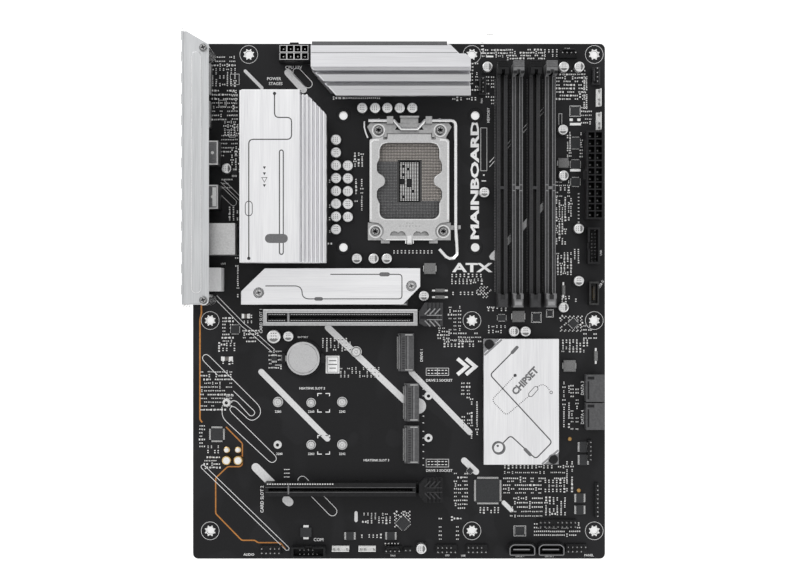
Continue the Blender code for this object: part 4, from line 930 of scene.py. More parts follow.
def low_heatsink_art(art, grey, z=DRIVE_TOP):
    """Folded and dotted lines, targets and a generic word on the drive's and chipset's heatsinks."""
    engrave(art, fillet([(-40.0, 15.8), (1.7, 15.8), (1.7, 1.4), (-54.6, 1.4), (-56.8, 3.4), (-56.8, 6.8),
                         (-59.0, 9.0), (-78.1, 9.0)], 2.0), 0.55, z)
    grey.ribbon([(-10.4, 15.8), (-6.6, 15.8)], 2.4, (z, z + 0.05))
    grey.ribbon([(-48.6, 1.4), (-45.6, 1.4)], 2.1, (z, z + 0.05))
    engrave(art, fillet([(65.5, -30.8), (53.3, -43.1), (89.7, -82.5), (80.1, -92.3), (65.3, -78.6),
                         (61.0, -82.9)], 2.0), 0.66, z)
    grey.ribbon([(66.3, -30.0), (69.1, -27.0)], 1.9, (z, z + 0.05))
    grey.ribbon([(76.8, -89.8), (73.9, -86.8)], 1.9, (z, z + 0.05))
    engrave(art, circle(58.1, -85.6, 3.3), 0.8, z, closed=True)
    grey.ring(58.5, -86.0, 2.9, 3.9, (z, z + 0.04), 28)
    art.disc(57.8, -84.7, 0.65, raised(z), 14)
    art.disc(68.0, -43.4, 0.95, raised(z))
    engrave(art, capsule((77.1, -54.6), (80.1, -51.2), 1.3), 0.36, z, closed=True)
    engrave(art, circle(89.1, -53.4, 0.8, 14), 0.34, z, closed=True)
    grey.letters("CHIPSET", 73.9, -46.8, 5.6, 47, z=z - 0.01, bold=0.045, length=20.0)
    dotted(art, fillet([(67.4, -44.0), (54.2, -57.9), (62.8, -66.9), (76.0, -55.6)], 2.5, steps=6), z)
    dotted(art, fillet([(81.2, -50.1), (83.7, -48.6), (86.2, -49.5), (88.5, -52.6)], 1.6, steps=6), z)


def make_heatsinks():
    refine(BRUSHED_Y, 0.3, "vrm_heatsink_left", "chipset_heatsink")
    refine(BRUSHED_X, 0.25, "vrm_heatsink_top")
    refine(DRIVE_SINK, 0.3, "m2_heatsink")
    refine(EPOXY, 0.2, "chipset_package")
    refine(PLATE, 0.12, "m2_heatsink_screw_1", "m2_heatsink_screw_2")
    refine(BLACK, 0.2, "chipset_pin_1", "chipset_pin_2")
    make_heatsink_painted_shade()
    art, grey, under, stages = shapes(4)
    left_heatsink_art(art, grey)
    low_heatsink_art(art, grey)
    piece("heatsink_art", art, ART_INK)
    piece("heatsink_art_grey", grey, GREY_ART)
    for i in range(7):
        under.slab(-51.9, 30.0 + 13.0 * i, TOP + 0.3, 9.4, 9.0, 2.8, 0.1)
    for i in range(5):
        under.slab(-26.0 + 14.0 * i, 127.0, TOP + 0.3, 9.0, 7.6, 2.8, 0.1)
    under.slab(-40.0, 8.6, TOP + 0.4, 66.0, 16.0, 5.2)
    piece("thermal_pads", under, PAD_RUBBER)
    for i in range(10):
        for x in (-63.6, -77.0):
            stages.slab(x, 28.0 + 9.4 * i, TOP, 8.4, 8.2, 7.2, 0.5)
    for i in range(7):
        stages.slab(-37.0 + 11.6 * i, 137.6, TOP, 8.6, 8.4, 7.2, 0.5)
    piece("power_coils", stages, FERRITE)


def dotted(shape, path, z, gap=1.15):
    """Dots spaced evenly along a path."""
    left = 0.0
    for a, b in zip(path, path[1:]):
        run = b - a
        while left < run.length:
            p = a + run.normalized() * left
            shape.disc(p.x, p.y, 0.32, raised(z), 8)
            left += gap
        left -= run.length


# ---- processor socket ----
def drive_shade(shape, x, y, radius, top, arms):
    """Painted shade for a screw's drive recess, as dark strokes, and a dark ring for the groove round its
    head.
    """
    for k in range(arms):
        angle = math.pi * k / arms + 0.3
        reach = Vector((math.cos(angle), math.sin(angle))) * radius * 0.42
        shape.ribbon([(x - reach.x, y - reach.y), (x + reach.x, y + reach.y)], radius * 0.24,
                     (top - 0.02, top + 0.03))
    shape.ring(x, y, radius * 0.70, radius * 0.80, (top - 0.1, top + 0.02), 24)


def make_socket_contacts():
    """Field of small leaning strips round the well, in two tones of one metal that stand for how their lean
    takes the light: painted highlight and painted shade.
    """
    lit_tabs, shaded_tabs = shapes(2)
    columns, rows, pitch_x, pitch_y = 42, 50, 0.885, 0.89
    foot, tip = 4.15, 4.775
    for row in range(rows):
        for column in range(columns):
            u = (column - (columns - 1) / 2) * pitch_x
            v = (row - (rows - 1) / 2) * pitch_y
            if abs(u) < 6.9 and abs(v) < 12.8:
                continue
            # strips in the upper band and on the right-hand side get the painted highlight, the rest the
            # painted shade
            tabs = lit_tabs if v > 11.6 or (u > 6.0 and v > -11.8) else shaded_tabs
            lean = 0.34 if tabs is lit_tabs else -0.34
            x, y = CPU_X + u, CPU_Y + v
            low = [(x + sx * 0.2, y + sy * 0.2, foot) for sx, sy in CORNERS]
            high = [(x + sx * 0.16 + lean, y + sy * 0.18, tip + sx * 0.025) for sx, sy in CORNERS]
            tabs.loft([low, high])
    piece("socket_contacts_painted_highlight", lit_tabs, LIT_TAB)
    piece("socket_contacts_painted_shade", shaded_tabs, SHADED_TAB)


def make_socket_well():
    """Grid of small parts in the well, with a few left out."""
    parts, ends = shapes(2)
    draw = random.Random(11)
    for column in range(8):
        for row in range(14):
            x, y = CPU_X - 4.9 + 1.4 * column, CPU_Y - 10.7 + 1.64 * row
            if (column in (3, 4) and 4 < row < 8) or draw.random() < 0.06 or (column < 2 and row in (6, 7)):
                continue
            parts.slab(x, y, TOP, 0.74, 0.5, 0.55, 0.05)
            for side in (-1, 1):
                ends.slab(x, y + side * 0.42, TOP, 0.92, 0.46, 0.6, 0.06)
    piece("socket_well_parts", parts, CERAMIC)
    piece("socket_well_terminals", ends, TIN)


def make_screw_marks():
    """Painted shade in the screws' drives and round their heads, washers of the frame screws, and the two
    dark marks on the socket's frame.
    """
    dark, soft, washers = shapes(3)
    on_frame = (FRAME_TOP - 0.05, FRAME_TOP + 0.05)
    for x in (CPU_X - 7.0, CPU_X + 7.0):
        dark.prism([(x - 1.5, 101.2), (x + 1.5, 101.2), (x, 103.6)], on_frame)
    for family, count, marks, arms in (("ilm", 4, dark, 3), ("io", 2, dark, 2), ("m2_heatsink", 2, soft, 2)):
        for i in range(1, count + 1):
            (x0, x1), (y0, y1), (_, top) = span(f"{family}_screw_{i}")
            x, y, radius = (x0 + x1) / 2, (y0 + y1) / 2, (x1 - x0) / 2
            drive_shade(marks, x, y, radius, top, arms)
            if family == "ilm":
                washers.ring(x, y, radius + 0.1, radius + 0.75, (FRAME_TOP - 0.05, FRAME_TOP + 0.12), 30)
    piece("screw_drive_shade", dark, BLACK)
    piece("cover_screw_drive_shade", soft, SLATE)
    piece("screw_washers", washers, BRIGHT)


def make_load_plate_marks():
    """Stamped code, and painted highlights in bright steel along the plate's rolled edges and round its
    window.
    """
    marks, lip_highlights = shapes(2)
    for i, width in enumerate((1.1, 0.7, 1.3, 0.9, 0.6, 1.2, 0.8)):
        marks.slab(CPU_X - 5.6 + 1.9 * i, 44.2, PLATE_TOP - 0.04, width, 0.55, 0.06)
    for i in range(3):
        marks.slab(CPU_X - 1.4 + 1.6 * i, 45.9, PLATE_TOP - 0.04, 1.0, 0.4, 0.06)
    piece("load_plate_stamp", marks, SCREW, "load_plate")
    # painted highlight: bright steel strips and wires along the plate's edges, nose and window
    rim, low = (PLATE_TOP - 0.05, PLATE_TOP + 0.07), PLATE_TOP - 0.1
    for side in (-1, 1):
        def mirrored(*spots):
            return [(CPU_X + side * x, *rest) for x, *rest in spots]

        lip_highlights.tube(mirrored((2.2, 36.2, low), (13.6, 36.2, low)), 0.5)
        lip_highlights.tube(mirrored((2.2, 36.2, low), (2.2, 33.9, PLATE_TOP - 0.3)), 0.35)
        lip_highlights.ribbon(mirrored((22.7, 48.4), (22.7, 93.4), (21.2, 94.8), (18.4, 94.8)), 1.1, rim)
        lip_highlights.ribbon(mirrored((13.0, 93.5), (16.4, 92.4), (17.9, 89.0), (17.9, 84.4)), 0.4, rim)
    x0, x1 = CPU_X - 17.9, CPU_X + 17.9
    lip_highlights.ribbon(fillet([(x0, 57.4), (x0, 48.0), (x1, 48.0), (x1, 57.4)], 4.6, steps=6), 0.5, rim)
    lip_highlights.slab(CPU_X, 36.4, low, 2.6, 4.6, 0.3, 0.1)
    piece("load_plate_lip_highlight", lip_highlights, BRIGHT, "load_plate")


def make_socket():
    refine(SOCKET, 0.15, "cpu_socket")
    refine(STEEL, 0.15, "ilm_frame")
    refine(DARK_METAL, 0.3, "ilm_backplate")
    refine(PLATE, 0.35, "load_plate")
    refine(BRIGHT, 0.05, "load_lever")
    refine(SCREW, 0.15, "ilm_screw_1", "ilm_screw_2", "ilm_screw_3", "ilm_screw_4")
    make_socket_contacts()
    make_socket_well()
    spring, bosses = shapes(2)
    spring.tube([(-20.4, 106.2, 3.2), (-20.5, 102.6, 3.4), (-19.6, 99.4, 3.6), (-18.4, 96.4, 3.8)], 0.55)
    piece("frame_spring", spring, BRIGHT)
    for x in (-12.0, 24.0):
        bosses.turned(x, 107.0, [(FRAME_TOP - 0.6, 1.1), (FRAME_TOP + 0.2, 1.1), (FRAME_TOP + 0.5, 0.7)], 16)
    piece("frame_bosses", bosses, STEEL)
    make_screw_marks()
    make_load_plate_marks()


# ---- slots ----
def make_memory_slots():
    channels, cells, blades, trim, tails = shapes(5)
    for i, x in enumerate(DIMM_X, 1):
        slot, latch = f"dimm_slot_{i}", f"dimm_latch_{i}"
        refine(CHARCOAL if i % 2 else RAIL, 0.15, slot)
        refine(BLACK if i % 2 else RAIL, 0.2, latch)
        _, (y0, _), (_, top) = span(slot)
        for side in (-1, 1):
            wall = x + side * 2.05
            # painted shade: near-black strips for the channels along the top of both walls
            channels.box((wall - 0.5, wall + 0.5), (5.0, 131.4), (DIMM_TOP - 0.05, DIMM_TOP + 0.03))
            for k in range(74):
                cells.slab(wall, 6.0 + 1.7 * k, DIMM_TOP, 0.6, 0.7, 0.06)
        for k in range(152):
            y = 5.2 + 0.835 * k
            if abs(y - DIMM_KEY) < 1.6:
                continue
            for side in (-1, 1):
                blades.bar(x + side * 0.86, y, (5.0, 7.4), 0.32, 0.4)
        # dark recess of painted shade, and wire bail, in the head of the fixed tower
        dark = (top - 0.9, top + 0.04)
        channels.box((x - 1.3, x + 1.3), (y0 + 4.6, y0 + 7.4), dark)
        for shift in (-2.7, 2.7):
            channels.box((x + shift - 0.2, x + shift + 0.2), (y0 + 0.6, y0 + 5.0), dark)
        caps, on_latch = Shape(), (LATCH_TOP - 0.1, LATCH_TOP + 0.03)
        for shift in (-2.1, 2.1):
            caps.box((x + shift - 1.05, x + shift + 1.05), (131.95, 133.7), on_latch)
        piece(f"memory_latch_caps_{i}", caps, BLACK, BODY_OF[latch])
        if i % 2 == 0:
            for y in (DIMM_KEY - 1.8, DIMM_KEY + 1.6):
                for shift in (-2.05, 2.05):
                    trim.bar(x + shift, y, (DIMM_TOP - 0.05, DIMM_TOP + 0.08), 1.7, 0.4)
            trim.box((x - 2.0, x + 2.0), (y0 + 1.2, y0 + 3.4), (top - 0.05, top + 0.12), 0.05)
    piece("memory_painted_shade_and_bails", channels, RESISTOR)
    piece("memory_cells", cells, CHARCOAL)
    piece("memory_contacts", blades, DARK_METAL)
    piece("memory_slot_trim", trim, RIM)
    for x in DIMM_X:
        for k in range(140):
            for side in (-1, 1):
                tails.slab(x + side * 3.6, 6.0 + 0.9 * k, SUNK, 0.9, 0.4, 0.2)
    piece("memory_solder_tails", tails, RAIL)


def make_card_latch_marks(i, y, look):
    """Ribs, and a near-black strip of painted shade for the slit, on the end latch of a long slot; they move
    with it.
    """
    latch = f"pcie_latch_{i}"
    (x0, x1), _, (_, top) = span(latch)
    ribs, slit = shapes(2)
    for s in (-1, 1):
        for k in range(3):
            x = x0 + 3.4 + 2.9 * k
            ribs.ribbon([(x, y + s * 1.8), (x + 3.2, y + s * 5.2)], 0.7, (top - 0.1, top + 0.25), blunt=True)
        spine = [(x0 + 4.6, y + s * 1.3), (x1 - 0.5, y + s * 1.3)]
        ribs.ribbon(spine, 0.5, (top - 0.1, top + 0.3), blunt=True)
    # painted shade: near-black strip where the latch has its slit
    slit.box((x0 + 0.6, x1 - 4.4), (y - 0.8, y + 0.8), (top - 0.1, top + 0.04))
    piece(f"card_latch_ribs_{i}", ribs, look, BODY_OF[latch])
    piece(f"card_latch_slit_shade_{i}", slit, BLACK, BODY_OF[latch])


def make_expansion_slots():
    refine(BLACK, 0.15, "pcie_slot_1", "pcie_slot_2")
    refine(SHELL, 0.18, "pcie_slot_1_shell")
    refine(CHARCOAL, 0.2, "pcie_latch_1")
    refine(BLACK, 0.2, "pcie_latch_2")
    contacts, windows, keys, ticks, lines, outline = shapes(6)
    sunk, proud = PCIE_TOP - 0.05, PCIE_TOP + 0.1
    upper, lower = PCIE_Y
    for y in PCIE_Y:
        for k in range(83):
            x = -76.0 + 1.0 * k
            if abs(x - PCIE_KEY) < 1.4:
                continue
            for side in (-1, 1):
                contacts.bar(x, y + side * 0.8, (6.0, 9.6), 0.5, 0.28)
                if y == upper:
                    windows.slab(x, y + side * 1.8, sunk, 0.5, 0.3, 0.09)
    for k in range(27):
        ticks.slab(-76.8 + 1.46 * k, lower + 3.35, sunk, 0.85, 0.6, 0.1)
    keys.bar(PCIE_KEY, upper, (sunk, proud), 1.2, 5.2)
    lines.bar(PCIE_KEY, lower, (sunk, proud), 0.8, 5.2)
    for y in (lower - 1.5, lower + 1.3):
        lines.box((PCIE_X[0] + 0.4, PCIE_X[1] - 0.4), (y, y + 0.2), (PCIE_TOP - 0.03, PCIE_TOP + 0.06))
    piece("card_slot_lines", lines, RAIL)
    piece("card_contacts", contacts, DARK_METAL)
    piece("card_slot_windows", windows, JACK)
    (x0, x1), (_, y1), (_, top) = span("pcie_slot_1_shell")
    on_shell = (top - 0.05, top + 0.04)
    # painted highlight: pale lines along one long edge of the steel cover and round its opening
    outline.ribbon([(x0 + 0.5, y1 - 0.35), (x1 - 0.5, y1 - 0.35)], 0.45, on_shell)
    left, right = PCIE_X[0] + 1.1, PCIE_X[1] - 1.3
    outline.ribbon([(left, upper - 2.85), (right, upper - 2.85), (right, upper + 2.85), (left, upper + 2.85)],
                   0.24, on_shell, closed=True)
    piece("slot_cover_edge_highlights", outline, JACK)
    piece("card_slot_ticks", ticks, IVORY)
    piece("card_slot_keys", keys, RIM)
    make_card_latch_marks(1, upper, RIM)
    make_card_latch_marks(2, lower, CHARCOAL)


# drive nuts with nothing screwed in
OPEN_NUTS = ((-71.8, -84.9), (-102.0, -60.0), (17.4, -56.0), (17.4, -80.9))


def make_drive_sockets():
    pins, gold, dark, pale = shapes(4)
    for i in range(1, 5):
        refine(SLATE, 0.12, f"m2_socket_{i}")
        (x0, x1), (y0, y1), _ = span(f"m2_socket_{i}")
        low, inner = CARD_EDGE_TOP - 0.04, (y0 + 1.2, y1 - 1.2)
        for k in range(int((y1 - y0 - 3.0) / 0.5)):
            y = y0 + 1.6 + 0.5 * k
            gold.box((x0 + 1.7, x0 + 3.6), (y - 0.09, y + 0.09), (4.35, 4.52))
            pins.slab(x0 - 0.4, y, SUNK, 0.9, 0.24, 0.2)
            # painted shade: near-black strips for openings at every second contact, and a near-black line
            # along the socket
            if k % 2 == 0:
                dark.slab(x0 + 3.0, y, low, 1.6, 0.42, 0.08)
        dark.box((x0 + 4.6, x0 + 4.9), inner, (low, CARD_EDGE_TOP + 0.03))
        pale.box((x0 + 5.0, x0 + 6.1), inner, (low, CARD_EDGE_TOP + 0.04))
        pale.box((x0 + 0.3, x0 + 1.0), inner, (low, CARD_EDGE_TOP + 0.04))
        for y in (y0 + 0.9, y1 - 0.9):
            pins.slab(x0 + 1.0, y, TOP, 2.2, 1.0, 0.4)
            pins.slab(x1 - 3.0, y, CARD_EDGE_TOP - 0.1, 4.4, 0.7, 0.14)
    piece("drive_socket_pins", pins, PIN)
    piece("drive_socket_opening_shade", dark, BLACK)
    piece("drive_socket_ribs", pale, RAIL)
    piece("drive_socket_contacts", gold, GOLD)
    nuts, nut_shade, rings = shapes(3)
    for x, y, r in ((-71.6, -59.6, 3.0), (-52.0, -60.0, 2.8), (-33.6, -59.6, 3.0), (-52.0, -84.9, 2.8),
                    (-33.6, -84.9, 3.0), (-25.3, -29.9, 3.3)):
        nuts.turned(x, y, [(TOP - 0.1, r), (1.9, r), (2.0, r - 0.1), (2.0, r - 0.7), (4.0, r - 0.75),
                           (4.2, r - 0.95), (4.2, 1.15), (3.4, 1.0)], 28)
        # painted shade: a dark ring in the corner where each nut's flange meets its barrel
        nut_shade.ring(x, y, r - 0.72, r - 0.45, (1.9, 2.06), 28)
        rings.ring(x, y, 0.9, 1.15, (4.1, 4.24), 24)
        rings.ring(x, y, r - 1.35, r - 1.2, (4.1, 4.22), 24)
    for x, y in OPEN_NUTS:
        nuts.ring(x, y, 1.0, 2.4, (TOP - 0.1, 1.72), 26)
        nuts.ring(x, y, 1.0, 1.9, (1.7, 3.6), 26)
        # painted shade: a dark disc for the empty nut's bore
        nut_shade.disc(x, y, 0.98, (TOP, 1.75), 20)
    piece("drive_nuts", nuts, CAN)
    piece("drive_nut_rings", rings, SCREW)
    piece("drive_nut_painted_shade", nut_shade, BLACK)


def make_coin_cell():
    refine(CELL, 0.3, "coin_cell")
    refine(BLACK, 0.25, "coin_cell_holder")
    clip = Shape()
    clip.box((-69.2, -66.0), (-35.4, -32.0), (TOP, 5.6), 0.2)
    clip.box((-68.6, -66.9), (-34.9, -32.5), (5.5, 6.5), 0.2)
    for y in (-29.6, -37.8):
        clip.slab(-71.4, y, TOP, 4.0, 0.6, 0.2)
    piece("cell_clip", clip, STEEL)


# ---- connectors ----
PIN_PITCH = 2.54
PLUG_PITCH, PLUG_ROW = 4.2, 2.205       # step and half the row spacing of the power sockets
MAIN_POWER, CPU_POWER = (114.4, 73.8), (-61.3, 145.2)
SIDE_PORTS = ((-59.0, -43.2), (-75.4, -59.6))   # along Y, the data ports that face the front edge


def pin_grid(shape, x, y, columns, rows, pitch, height, turn=0.0, thick=0.64, missing=()):
    """Square pins in a grid centred on x, y."""
    shape.place(x, y, 0.0, turn)
    for row in range(rows):
        for column in range(columns):
            if (column, row) not in missing:
                shape.slab((column - (columns - 1) / 2) * pitch, (row - (rows - 1) / 2) * pitch, SUNK,
                           thick, thick, height - TOP, 0.18)


def fan_header(body, pins, x, y, turn):
    """Four-pin fan header with its polarising back wall."""
    body.place(x, y, TOP, turn)
    body.slab(0, 0, 0, 10.2, 4.6, 3.2, 0.2)
    body.box((-3.6, 3.6), (1.5, 2.3), (0, 8.6), 0.2)
    for side in (-1, 1):
        body.box((side * 4.9 - 0.2, side * 4.9 + 0.2), (-2.3, 2.3), (3.0, 4.2))
    pin_grid(pins, x, y, 4, 1, PIN_PITCH, 10.0, turn)


def fill_power_sockets(pins, bright, rims):
    """Pins in the wells of both power sockets, and thin pale rims round the smaller one's wells."""
    for shape, spot, turn, count, top in ((pins, MAIN_POWER, 90.0, 12, 7.6),
                                          (bright, CPU_POWER, 0.0, 4, 12.4)):
        shape.place(*spot, 0.0, turn)
        for row in (-1, 1):
            for step in range(count):
                shape.bar((step - (count - 1) / 2) * PLUG_PITCH, row * PLUG_ROW, (4.8, top), 1.1, 1.1, 0.3)
    for row in (-1, 1):
        for step in range(4):
            x, y = CPU_POWER[0] + (step - 1.5) * PLUG_PITCH, CPU_POWER[1] + row * PLUG_ROW
            rims.ribbon([(x + sx * 1.9, y + sy * 1.9) for sx, sy in CORNERS], 0.26,
                        (POWER_TOP, POWER_TOP + 0.16), closed=True)


def trim_data_ports(pale, black):
    """Rims and tongues of the upright data ports, and shadows on the two that face the edge."""
    for x0, x1 in ((64.4, 80.1), (81.5, 97.2)):
        pale.ribbon(fillet([(x0 + 0.6, -148.7), (x1 - 0.6, -148.7), (x1 - 0.6, -144.4), (x1 - 2.6, -142.7),
                            (x0 + 2.6, -142.7), (x0 + 0.6, -144.4)], 0.8, closed=True), 0.4,
                    (PORT_TOP, PORT_TOP + 0.16), closed=True)
        pale.box((x0 + 2.6, x1 - 3.4), (-145.9, -145.3), (9.4, 9.75))
    for y0, y1 in SIDE_PORTS:
        black.box((110.4, 114.4), (y1 - 2.6, y1 - 0.9), (PORT_TOP, PORT_TOP + 0.16))
        black.box((110.4, 111.4), (y0 + 1.6, y1 - 3.6), (PORT_TOP, PORT_TOP + 0.14))


def make_headers(pins, black, grey, white):
    """Fan, lighting and other pin headers."""
    for body, x, y, turn in ((grey, 49.3, 127.0, 90), (black, 99.8, 145.9, 0), (grey, 116.3, 132.9, 90),
                             (black, -3.7, -146.6, 0)):
        fan_header(body, pins, x, y, turn)
        black.place(x, y, TOP, turn).slab(0, 0, 3.15, 9.0, 3.0, 0.12, 0.03)
    for x, y, turn in ((117.7, 120.1, 90), (117.7, 106.2, 90), (-34.5, -145.9, 0), (-18.8, -145.9, 0)):
        white.place(x, y, TOP, turn)
        white.slab(0, 0, 0, 10.2, 2.6, 2.6, 0.15)
        white.box((-5.1, 5.1), (-1.3, -0.7), (0, 6.4), 0.15)
        pin_grid(pins, x, y, 4, 1, PIN_PITCH, 9.0, turn, missing=((2, 0),))
    for x, y, columns, rows, turn, *missing in (
            (-75.6, -146.8, 5, 2, 0, (1, 1)), (28.0, -146.2, 5, 2, 0, (4, 1)),
            (46.0, -146.2, 5, 2, 0, (4, 1)), (104.5, -145.8, 5, 2, 0, (4, 0)),
            (5.3, -146.4, 2, 1, 0), (93.4, -131.4, 9, 2, 0, (3, 1)),
            (116.7, -117.4, 8, 1, 90), (112.6, -88.0, 5, 1, 90)):
        black.place(x, y, TOP, turn)
        black.slab(0, 0, 0, columns * PIN_PITCH - 0.1, rows * PIN_PITCH - 0.1, 2.5, 0.3)
        pin_grid(pins, x, y, columns, rows, PIN_PITCH, 8.5, turn, missing=missing)
    pin_grid(pins, 114.2, 32.65, 10, 2, 2.0, 8.8, 90, 0.5, missing=((9, 1),))
    pin_grid(pins, -53.2, -147.35, 5, 2, PIN_PITCH, 8.8, 0, missing=((4, 1),))


def make_connectors():
    refine(BLACK, 0.2, "atx_power_24pin", "cpu_power_8pin", "sata_port_3", "sata_port_4")
    refine(BLACK, 0.18, "usb_header", "com_header")
    refine(DARK_METAL, 0.15, "usb_c_header")
    refine(SLATE, 0.2, "sata_port_1", "sata_port_2")
    pins, pale, black, white, bright = shapes(5)
    grey, gold, rims = shapes(3)
    fill_power_sockets(pins, bright, rims)
    trim_data_ports(pale, black)
    for y in (11.1, -1.7):
        bright.ribbon([(112.6, y), (116.6, y)], 0.9, (9.7, 9.95), blunt=True)
    for k in range(4):
        bright.slab(110.6, 1.6 + 2.1 * k, TOP, 1.5, 0.6, 0.5)
    make_headers(pins, black, grey, white)
    for k in range(10):
        for side in (-1, 1):
            gold.bar(114.4 + side * 0.42, 1.4 + 0.74 * k, (4.0, 8.2), 0.1, 0.4)
    for y0, _ in SIDE_PORTS:
        for k in range(7):
            gold.box((114.0, 119.0), (y0 + 3.4 + 1.27 * k, y0 + 3.8 + 1.27 * k), (6.75, 6.86))
    piece("header_pins", pins, PIN)
    piece("power_pins", bright, TIN)
    piece("power_socket_rims", rims, JACK)
    piece("connector_rims", pale, RIM)
    piece("header_bodies", black, BLACK)
    piece("grey_headers", grey, CHARCOAL)
    piece("lighting_headers", white, IVORY)
    piece("socket_gold", gold, GOLD)


# ---- rear ----
def fill_ports(blue, gold, dark, lamps):
    """Tongues, contacts and linings inside the rear ports, and the network port's lamps."""
    usb = [((80.4, 92.2), (3.6, 8.6)), ((80.4, 92.2), (11.6, 16.6)), ((54.8, 66.6), (3.6, 8.6)),
           ((54.8, 66.6), (11.6, 16.6)), ((29.2, 42.5), (3.6, 8.6)), ((29.2, 42.5), (10.4, 15.4))]
    for (y0, y1), (z0, z1) in usb:
        low, high = (z0 + z1) / 2 - 0.8, (z0 + z1) / 2 + 1.1
        blue.box((SHIELD_X, -114.6), (y0 + 1.2, y1 - 1.2), (low, high), 0.1)
        for k in range(4):
            y = y0 + 2.4 + (y1 - y0 - 4.8) * k / 3
            gold.box((-122.6, -116.0), (y - 0.45, y + 0.45), (low - 0.12, low + 0.05))
    for y0, y1, middle in ((122.6, 138.4, 12.7), (103.0, 116.4, 5.8)):
        dark.box((SHIELD_X, -117.0), (y0 + 1.3, y1 - 1.3), (middle - 0.75, middle + 1.05), 0.1)
        for k in range(9):
            y = y0 + 2.0 + (y1 - y0 - 4.0) * k / 8
            gold.box((-122.8, -118.0), (y - 0.22, y + 0.22), (middle + 1.0, middle + 1.15))
    for k in range(8):
        gold.aim(-112.6, 31.4 + 1.27 * k, 18.2, (-0.82, 0.0, 0.57)).slab(0, 0, 0, 0.42, 0.42, 9.0)
    for y in (31.2, 40.5):
        lamps.box((-124.05, -121.0), (y - 1.4, y + 1.4), (26.0, 27.8))
    for z in (6.6, 15.4):
        for r, x in ((3.3, -124.35), (2.9, -124.45)):
            dark.aim(x, 12.7, z, (-1.0, 0.0, 0.0)).ring(0, 0, 2.42, r, (0.0, 0.5), 28)


def make_port_rims():
    """Painted highlights in pale moulding on the folded rims and rivets of the port shells, seen from above.
    """
    rims = Shape()
    # painted highlight: pale strips and dots on the shells' folded rims and rivets
    for y0, y1 in ((79.2, 93.4), (53.6, 67.8)):
        rims.ribbon([(-111.4, y0 + 0.5), (-105.6, y0 + 0.5), (-105.6, y1 - 0.5), (-111.4, y1 - 0.5)], 0.7,
                    (STACK_TOP - 0.05, STACK_TOP + 0.12), blunt=True)
        rims.turned(-108.4, (y0 + y1) / 2, [(STACK_TOP - 0.1, 1.0), (STACK_TOP + 0.18, 0.8)], 18)
    rims.box((-108.4, -106.2), (55.2, 66.2), (STACK_TOP - 0.05, STACK_TOP + 0.15), 0.05)
    piece("port_rim_highlights", rims, IVORY)


def trim_shield(steel):
    """Painted highlights along the edges and round end of an embossed rib on the shield's flange, earth
    springs along its edges and bent wires at its ends.
    """
    on_flange = (FLANGE_TOP, FLANGE_TOP + 0.14)
    # painted highlight: bright lines along both edges of the flange's embossed rib, joined round its end
    for side in (-2.75, 2.75):
        steel.ribbon([(-114.9 + side, 8.0), (-114.9 + side, 139.0)], 0.3, on_flange)
    bend = [math.pi + math.pi * k / 10 for k in range(11)]
    steel.ribbon([(-114.9 + 2.75 * math.cos(a), 7.6 + 2.75 * math.sin(a)) for a in bend], 0.3, on_flange)
    for y in (108.0, 111.4):
        steel.box((-118.0, -112.0), (y - 0.3, y + 0.3), (9.35, 9.55), 0.05)
    for i in range(13):
        for z in (40.4, -0.5):
            steel.box((-123.9, -123.1), (4.0 + 12.0 * i, 9.4 + 12.0 * i), (z - 1.6, z), 0.2)
    for y in (152.9, -1.9):
        for z in (6.0, 16.0, 26.0):
            steel.box((-123.9, -123.1), (y - 0.5, y + 0.5), (z, z + 5.0), 0.2)
    steel.tube([(-122.6, 152.9, 39.6), (-122.3, 153.5, 39.9), (-122.6, 154.6, 39.9), (-123.3, 155.4, 39.7)],
               0.35)
    for k in range(3):
        steel.tube([(-122.2 + 1.6 * k, -1.6, 39.2), (-122.0 + 1.6 * k, -2.4, 39.0),
                    (-122.3 + 1.6 * k, -3.0, 38.6)], 0.4)


def make_rear():
    refine(SHIELD, 0.2, "io_shield")
    refine(BRIGHT, 0.3, "io_pillar_1", "io_pillar_2")
    refine(SCREW, 0.12, "io_screw_1", "io_screw_2")
    refine(PORT, 0.2, "display_port", "hdmi_port", "lan_usb_stack")
    refine(USB_STEEL, 0.2, "usb_stack_1", "usb_stack_2")
    refine(JACK, 0.3, "audio_jacks")
    refine(BLACK, 0.2, "button_switch")
    refine(SLATE, 0.25, "rear_button")
    blue, gold, dark, steel, lamps, dots = shapes(6)
    fill_ports(blue, gold, dark, lamps)
    make_port_rims()
    trim_shield(steel)
    piece("port_tongues", blue, BLUE)
    piece("port_contacts", gold, GOLD)
    piece("port_inserts", dark, BLACK)
    piece("port_seams_and_rib_highlights", steel, BRIGHT)
    piece("network_lamps", lamps, LAMP)
    for x, y in ((101.0, -81.5), (106.4, -112.0)):
        dots.turned(x, y, [(TOP, 1.2), (2.3, 1.1), (2.7, 0.6)], 16)
    piece("status_lamps", dots, LAMP)


# ---- underside ----
def solder_point(joints, x, y, r=0.8, drop=0.9):
    """Cone of solder round a trimmed lead."""
    joints.turned(x, y, [(-drop, r * 0.3), (-drop * 0.55, r * 0.42), (-0.12, r), (0.1, r)], 8)


